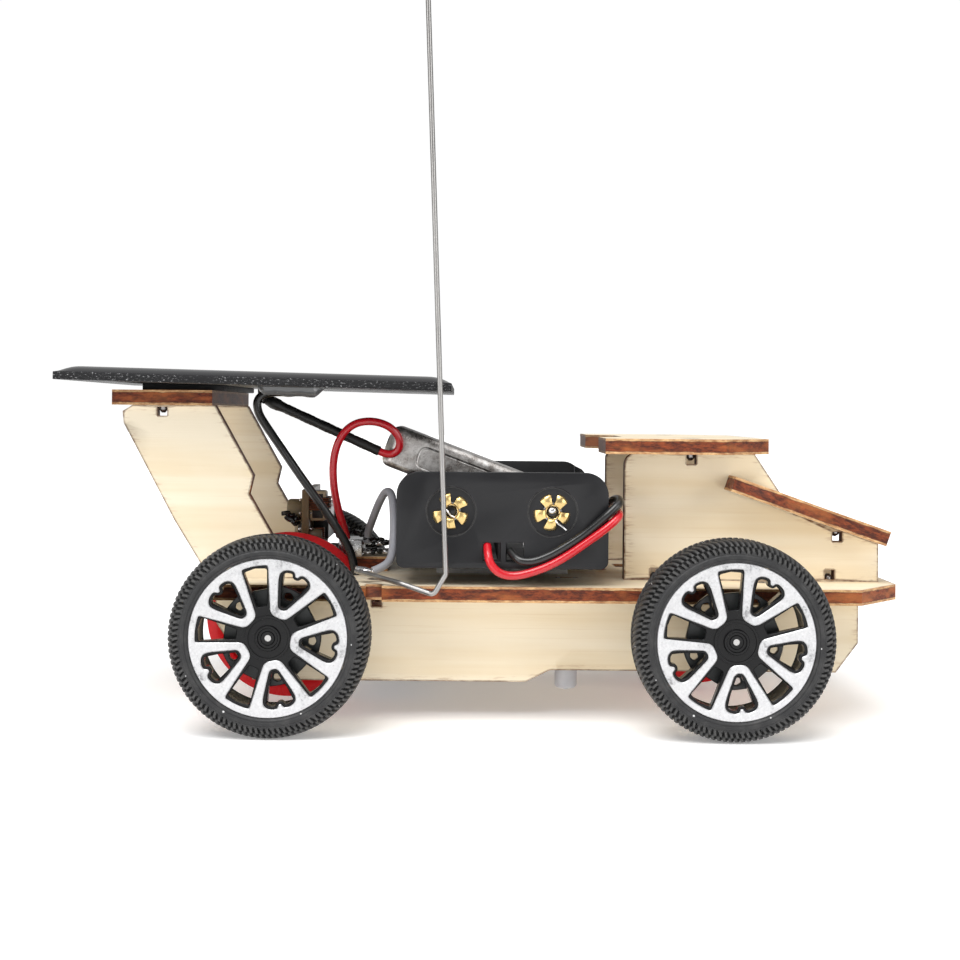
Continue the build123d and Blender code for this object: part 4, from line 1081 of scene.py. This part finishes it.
def make_glue_strip():
    """A bead of glue under the panel, which thins out towards the front."""
    mesh = bmesh.new()
    rows = []
    low_u = -36.6 - PANEL_REAR
    length = 11.4
    for i in range(33):
        u = low_u + length * i / 32
        thin = smooth_step(u, low_u + length, low_u + 9.2)
        half = 0.5 + 0.8 * thin * smooth_step(u, low_u - 0.2, low_u + 1.2)
        drop = 0.1 + (1.4 * thin + 0.08 * math.sin(1.7 * u)) * smooth_step(u, low_u - 0.3, low_u + 1.0)
        row = [mesh.verts.new(on_panel(u, -13.0 + half * math.cos(a), -drop * math.sin(a)))
               for a in (math.pi * k / 12 for k in range(13))]
        rows.append(row)
    for first, second in zip(rows, rows[1:]):
        for index in range(12):
            mesh.faces.new((first[index], second[index], second[index + 1], first[index + 1]))
        mesh.faces.new((first[0], first[-1], second[-1], second[0]))
    mesh.faces.new(rows[0])
    mesh.faces.new(rows[-1])
    finish_piece("panel_glue_strip", mesh, "chassis", [GLUE])


make_panel()
make_glue_strip()

# ---------------------------------------------------------------- panel joint and its sleeve
SLEEVE_START = (-35.6, -8.6, 50.2)
SLEEVE_END = (-16.9, -8.6, 41.85)


def make_sleeve():
    """Shrink sleeve over the diode: swollen where the joint is, with faint wrinkles."""
    place = along(SLEEVE_START, Vector(SLEEVE_END) - Vector(SLEEVE_START))
    length = (Vector(SLEEVE_END) - Vector(SLEEVE_START)).length
    profile = [(0.62, 0.0), (0.8, -0.05)]
    for index in range(1, 60):
        depth = length * index / 60
        swell = 0.2 * smooth_step(depth, 0.1, 0.9) * smooth_step(depth, 3.4, 1.6)
        waist = 0.05 * math.sin(depth * 1.9) * smooth_step(depth, 1.0, 3.0)
        profile.append((0.81 + swell + waist * 0.5 + 0.02 * math.sin(depth * 7.1), depth))
    profile += [(0.84, length - 0.05), (0.8, length), (0.62, length - 0.03), (0.6, 0.1)]
    mesh = bmesh.new()
    add_lathe(mesh, profile, place, 0, 40, closed=True)
    stand_for("diode_sleeve", mesh, [SLEEVE])


make_sleeve()
refine("panel_joint", SLEEVE, 0.35)

# ---------------------------------------------------------------- battery holder
HOLDER_FACE = -29.0
RECESS_DEPTH = 0.5
BAY_X = (-4.7, 10.9)
BAY_Z = 33.2
PETAL_LINE = [(0.98, -0.85), (1.02, 0.0), (1.2, 0.3), (1.6, 0.42), (2.05, 0.42), (2.45, 0.32), (2.72, 0.18),
              (2.84, 0.02)]
PETAL_HALF = [0.55, 0.6, 0.62, 0.66, 0.82, 0.93, 0.86, 0.5]
PETAL_THICK = 0.14


def add_petal(mesh, place, angle, twist, lengthen):
    """One folded tab of an eyelet: out of the hole, over its rim and down on to the recess."""
    spin = Matrix.Rotation(angle, 2)
    columns = 7
    rows = []
    for (radius, height), half in zip(PETAL_LINE, PETAL_HALF):
        reach = 1.0 + (radius - 1.0) * lengthen
        pair = []
        for lift in (PETAL_THICK, 0.0):
            line = []
            for column in range(columns):
                across = half * (2 * column / (columns - 1) - 1)
                cup = 0.26 * (across / max(half, 0.01)) ** 2 * smooth_step(radius, 1.2, 2.0)
                spot = spin @ Vector((reach - lift * 0.3, across + twist * (radius - 1.0)))
                line.append(mesh.verts.new(place(spot.x, spot.y, height - cup + lift)))
            pair.append(line)
        rows.append(pair[0] + pair[1][::-1])
    skin(mesh, rows)


def make_eyelets():
    """A five-petal brass eyelet in each recess, one with a solder dome."""
    mesh = bmesh.new()
    chance = random.Random(4)
    for number, x in enumerate(BAY_X):
        place = along((x, HOLDER_FACE + RECESS_DEPTH, BAY_Z), (0, -1, 0))
        for petal in range(5):
            angle = TURN * petal / 5 + math.radians(50 - 4 * number) + chance.uniform(-0.08, 0.08)
            add_petal(mesh, place, angle, chance.uniform(-0.16, 0.16), chance.uniform(0.9, 1.08))
        tube = [(1.16, -0.8), (1.2, 0.05), (1.12, 0.2), (0.98, 0.14), (0.94, -1.6), (1.16, -1.6)]
        add_lathe(mesh, tube, place, 0, 40, closed=True)
    stand_for("contact_rivets", mesh, [BRASS], smooth=50)
    left_x, right_x = BAY_X
    mesh = bmesh.new()
    add_blob(mesh, (right_x - 0.05, -28.75, BAY_Z + 0.25), (0.62, 0.3, 0.52), 0, seed=5)
    add_wire(mesh, [(right_x + 0.35, -28.8, BAY_Z - 1.2), (right_x + 0.9, -29.08, BAY_Z - 1.75),
                    (right_x + 1.55, -29.1, BAY_Z - 2.2), (right_x + 2.15, -29.0, BAY_Z - 2.75)], 0.15)
    add_wire(mesh, [(left_x - 0.75, -28.6, BAY_Z + 0.35), (left_x - 0.35, -28.9, BAY_Z - 0.2),
                    (left_x + 0.1, -28.95, BAY_Z - 0.65), (left_x + 0.6, -28.7, BAY_Z - 0.85)], 0.14)
    finish_piece("contact_solder", mesh, "chassis", [SOLDER])
    # A dark plug fills each eyelet's hole, and a thin dark ring on the holder's face marks each recess.
    mesh = bmesh.new()
    for number, x in enumerate(BAY_X):
        add_blob(mesh, (x, -28.0, BAY_Z), (0.93, 0.3, 0.93), 0, seed=8 + number, rough=0.05)
        # The thin dark ring is painted shade along the recess's rim.
        line = [(3.66, 0.0), (3.72, 0.03), (3.86, 0.03), (3.92, 0.0), (3.86, -0.05), (3.72, -0.05)]
        add_lathe(mesh, line, along((x, HOLDER_FACE, BAY_Z), (0, -1, 0)), 0, 72, closed=True)
    finish_piece("eyelet_plug_and_shade_ring", mesh, "chassis", [FLUX_AND_PAINTED_SHADE])


def make_springs():
    """Two conical coil springs inside the holder."""
    mesh = bmesh.new()
    for x, start_y, direction in ((BAY_X[0], -27.3, 1), (BAY_X[1], 27.3, -1)):
        points = []
        turns = 4.5
        for step in range(int(turns * 14) + 1):
            t = step / (turns * 14)
            radius = 3.0 - 1.0 * t
            angle = TURN * turns * t
            points.append((x + radius * math.cos(angle), start_y + direction * (0.3 + 6.0 * t),
                           BAY_Z + radius * math.sin(angle)))
        add_wire(mesh, points, 0.26, 0, 8, 2)
    stand_for("contact_springs", mesh, [TINNED])


refine("battery_holder", HOLDER_BLACK, 0.16)
refine("contact_plates", TINNED, 0.08)
refine("holder_tape", FOAM, 0.2)
make_eyelets()
make_springs()

# ---------------------------------------------------------------- buffer cell
CELL_SLOPE = math.radians(20.5)
CELL_LEFT = (-15.7, 0.0, 43.05)


def make_cell():
    """Flat steel cell with a raised panel on each narrow side and a cap at its raised end."""
    lengthwise = Vector((math.cos(CELL_SLOPE), 0, -math.sin(CELL_SLOPE)))
    upwards = Vector((math.sin(CELL_SLOPE), 0, math.cos(CELL_SLOPE)))

    def place(u, v, w):
        return (Vector(CELL_LEFT) + lengthwise * u + Vector((0, w, 0)) + upwards * v) * MM

    mesh = cad_copy("buffer_cell")
    round_edges(mesh, 0.1, 30)
    for side in (-1, 1):
        outline = soften([(5.4, -2.0), (28.0, -2.0), (28.0, 2.0), (5.4, 2.0)], 1.7, 8)
        inner = moved_in(outline, 0.42)
        add_sheet(mesh, outline, [inner], side * 7.42, side * 7.42 + side * 0.22, 0.06, place)
    cap_place = along(CELL_LEFT, -lengthwise)
    add_lathe(mesh, [(2.6, -0.1), (2.5, 0.16), (1.5, 0.2), (1.4, 0.36), (0, 0.38)], cap_place, 0, 48)
    stand_for("buffer_cell", mesh, [NICKEL])


make_cell()

# ---------------------------------------------------------------- receiver
BOARD_REAR = -30.0
BOARD_FRONT = -28.8
CHIP_PINS = 7
PIN_PITCH = 1.8
WINDINGS_SEEN = 6
WINDING_PITCH = 0.36


def make_receiver():
    """Small board on edge with a chip, a wound block, round parts, a coil and twists of black wire."""
    refine("receiver_board", CIRCUIT, 0.08)
    mesh = bmesh.new()
    add_block(mesh, (BOARD_FRONT, 2.0, 26.3), (-26.2, 14.0, 32.3), 0, 0.18)
    for side in (-1, 1):
        for index in range(CHIP_PINS):
            y = 2.6 + PIN_PITCH * index
            z = 29.3 + side * 3.1
            add_wire(mesh, [(-27.5, y, z - side * 0.25), (-27.5, y, z + side * 0.5),
                            (-28.1, y, z + side * 0.95), (BOARD_FRONT, y, z + side * 1.0)], 0.17, 3, 6, 3)
    add_block(mesh, (BOARD_FRONT, -5.3, 29.9), (-26.0, -0.7, 35.0), 2, 0.5)
    add_lathe(mesh, [(0, 0), (1.1, 0), (1.25, 0.12), (1.25, 0.4), (0, 0.42)],
              along((-26.0, -3.0, 32.2), (1, 0, 0)), 4, 28)
    for y, z in ((-2.5, 31.5), (4.0, 31.0)):
        place = along((BOARD_REAR, y, z), (-1, 0, 0))
        add_lathe(mesh, [(1.9, 0), (2.0, 0.25), (2.0, 2.3), (1.75, 2.7), (0, 2.8)], place, 1, 36)
    add_block(mesh, (-32.6, 6.2, 26.4), (BOARD_REAR, 14.8, 29.7), 1, 0.7)
    for y, z, radius in ((-4.1, 27.4, 1.25), (-4.3, 24.6, 1.1)):
        place = along((BOARD_FRONT, y, z), (1, 0, 0))
        profile = [(radius * 0.9, 0), (radius, 0.2), (radius, 1.7), (radius * 0.8, 2.1), (0, 2.2)]
        add_lathe(mesh, profile, place, 1, 28)
    for index, z in enumerate((28.6, 31.2, 33.4)):
        for front in (BOARD_FRONT + 0.3, BOARD_REAR - 0.3):
            add_blob(mesh, (front, -5.2 + 0.3 * index, z), (0.35, 0.4, 0.3), 3, seed=20 + index)
    stand_for("receiver_parts", mesh, [CHIP, OLIVE, TAN, TINNED, BRASS])
    mesh = bmesh.new()
    place = along((-27.3, -3.6, 23.0), (0, 0, 1))
    add_lathe(mesh, [(0, 0), (0.9, 0), (1.0, 0.2), (1.0, 5.6), (0.9, 5.8), (0, 5.8)], place, 0, 28)
    for turn in range(WINDINGS_SEEN):
        z = 31.9 + WINDING_PITCH * turn
        bulge = 0.25 * (turn % 2)
        add_wire(mesh, [(BOARD_FRONT, -5.6 - bulge, z), (-25.9 + bulge, -5.6 - bulge, z + 0.05),
                        (-25.7 + bulge, -3.0, z + 0.1), (-25.9 + bulge, -0.4, z + 0.05),
                        (BOARD_FRONT, -0.4, z)], 0.2, 0, 8, 3)
    finish_piece("receiver_coil", mesh, "chassis", [WINDINGS])
    mesh = bmesh.new()
    chance = random.Random(12)
    for start, stop in (((-30.3, -5.0, 30.2), (-33.4, -5.2, 31.4)),
                        ((-30.3, -4.2, 29.2), (-32.6, -5.6, 30.4)),
                        ((-22.8, -6.2, 28.9), (-19.4, -6.4, 27.8)),
                        ((-22.4, -5.4, 28.3), (-18.9, -5.8, 27.6))):
        line = []
        for step in range(8):
            spot = Vector(start).lerp(Vector(stop), step / 7)
            line.append(spot + Vector([chance.uniform(-0.3, 0.3) for _ in range(3)]))
        add_wire(mesh, line, 0.42, 0, 8, 3)
    finish_piece("receiver_twists", mesh, "chassis", [FLUX_AND_PAINTED_SHADE])


make_receiver()

# ---------------------------------------------------------------- slide switch
LUG_ZS = [24.9, 26.3]
LUG_REAR = -19.7
LUG_YS = [-6.2, -3.7, -1.2]


def make_switch():
    """Folded tin shell, brown base, six lugs with solder and flux, and the slider."""
    refine("switch_shell", TINNED, 0.1)
    refine("switch_base", PHENOLIC, 0.1)
    refine("switch_slider", CHIP, 0.12)
    mesh = bmesh.new()
    chance = random.Random(3)
    for z in LUG_ZS:
        for y in LUG_YS:
            outline = soften([(-0.65, 0), (0.65, 0), (0.65, 3.3), (0.35, 4.7), (-0.35, 4.7),
                              (-0.65, 3.3)], 0.25)
            eye = [point + Vector((0, 3.4)) for point in ring_points(0.3, 20)]
            add_sheet(mesh, outline, [eye], -0.15, 0.15, 0.04,
                      lambda u, v, w, y=y, z=z: mm(LUG_REAR + v, y + u, z + w))
    stand_for("switch_lugs", mesh, [TINNED])
    mesh = bmesh.new()
    for number, z in enumerate(LUG_ZS):
        for index, y in enumerate(LUG_YS[:2]):
            for bead in range(4):
                along_lug = LUG_REAR + 0.9 + 1.0 * bead
                add_blob(mesh, (along_lug, y - 0.2 * bead, z + 0.12 * (bead % 2)),
                         (0.55, 0.55, 0.42), 1 if (bead + index + number) % 3 == 0 else 0,
                         seed=40 + 10 * number + 3 * index + bead, rough=0.35)
    line = [(-19.6, -6.6, 27.2)]
    for step in range(8):
        line.append((-19.2 + 0.45 * step, -6.6 + chance.uniform(-0.25, 0.25),
                     27.1 + chance.uniform(-0.25, 0.3)))
    add_wire(mesh, line, 0.26, 0, 7, 3)
    finish_piece("switch_solder", mesh, "chassis", [FLUX_AND_PAINTED_SHADE, SOLDER])


make_switch()

# ---------------------------------------------------------------- motor, lamp, antenna and screws
refine("motor_can", MOTOR_STEEL, 0.3)
refine("motor_cap", OLIVE, 0.3)
refine("motor_rotor", STEEL, 0.1)
refine("motor_pinion", WHITE_PLASTIC, 0.05)
refine("motor_terminals", BRASS, 0.08)
refine("motor_tape", FOAM, 0.1)
refine("lamp", MILKY, 0.1)
refine("lamp_legs", TINNED, 0.06)
dress("antenna", WHIP_STEEL)
refine("screws", SCREW_STEEL, 0.04)


def make_antenna_joint():
    """The grey lead's stripped, tinned end lies on the antenna's foot under a bead of solder."""
    mesh = bmesh.new()
    add_wire(mesh, [(-16.2, -24.3, 23.5), (-17.2, -24.6, 23.55), (-18.4, -24.9, 23.9),
                    (-19.6, -25.1, 24.0)], 0.34)
    add_blob(mesh, (-17.9, -25.4, 23.55), (1.1, 0.5, 0.45), 0, seed=60, rough=0.2)
    finish_piece("antenna_solder", mesh, "chassis", [SOLDER])


make_antenna_joint()


# ---------------------------------------------------------------- floor and light
FLOOR_GLOW = 0.22
WORLD_AS_LAMP = 0.36
WORLD_TO_EYE = 1.02


def make_floor():
    """A matt, almost white floor that glows a little, so that it meets the white behind it."""
    finish = Finish("studio_floor", (0.93, 0.93, 0.93), 0.9, specular_ior_level=0.0)
    slow = finish.noise(0.002, 2.0)
    finish.put("Roughness", finish.level(slow, 0.3, 0.7, 0.86, 0.94))
    finish.put("Emission Color", (1.0, 0.99, 0.98))
    finish.put("Emission Strength", FLOOR_GLOW)
    data = bpy.data.meshes.new("studio_floor")
    half = 3.0      # metres
    corners = [(-half, -half, 0), (half, -half, 0), (half, half, 0), (-half, half, 0)]
    data.from_pydata(corners, [], [(0, 1, 2, 3)])
    data.materials.append(finish.material)
    floor = bpy.data.objects.new("studio_floor", data)
    bpy.context.collection.objects.link(floor)


def make_sun(name, towards, strength, spread):
    """An even lamp; towards is the way its light travels and spread its width in degrees."""
    data = bpy.data.lights.new(name, "SUN")
    data.energy = strength
    data.angle = math.radians(spread)
    lamp = bpy.data.objects.new(name, data)
    lamp.matrix_world = Vector(towards).to_track_quat("-Z", "Y").to_matrix().to_4x4()
    bpy.context.collection.objects.link(lamp)


def make_world():
    """White all round to the eye, dimmer as a lamp, so that the suns shape the buggy."""
    world = bpy.data.worlds.new("studio")
    world.use_nodes = True
    tree = world.node_tree
    background = tree.nodes["Background"]
    background.inputs["Color"].default_value = (1.0, 1.0, 1.0, 1.0)
    eye = tree.nodes.new("ShaderNodeLightPath").outputs["Is Camera Ray"]
    level = tree.nodes.new("ShaderNodeMapRange")
    tree.links.new(eye, level.inputs[0])
    level.inputs[3].default_value = WORLD_AS_LAMP
    level.inputs[4].default_value = WORLD_TO_EYE
    tree.links.new(level.outputs[0], background.inputs["Strength"])
    bpy.context.scene.world = world
    bpy.context.scene.view_settings.view_transform = "Standard"


make_floor()
make_sun("key_sun", (0.25, 0.6, -1.0), 2.2, 40)
make_sun("rear_side_sun", (0.95, 0.85, -0.3), 0.75, 35)
make_sun("front_side_sun", (-0.95, 0.85, -0.3), 0.8, 35)
make_sun("top_sun", (-0.15, 0.1, -1.0), 0.8, 60)
make_world()
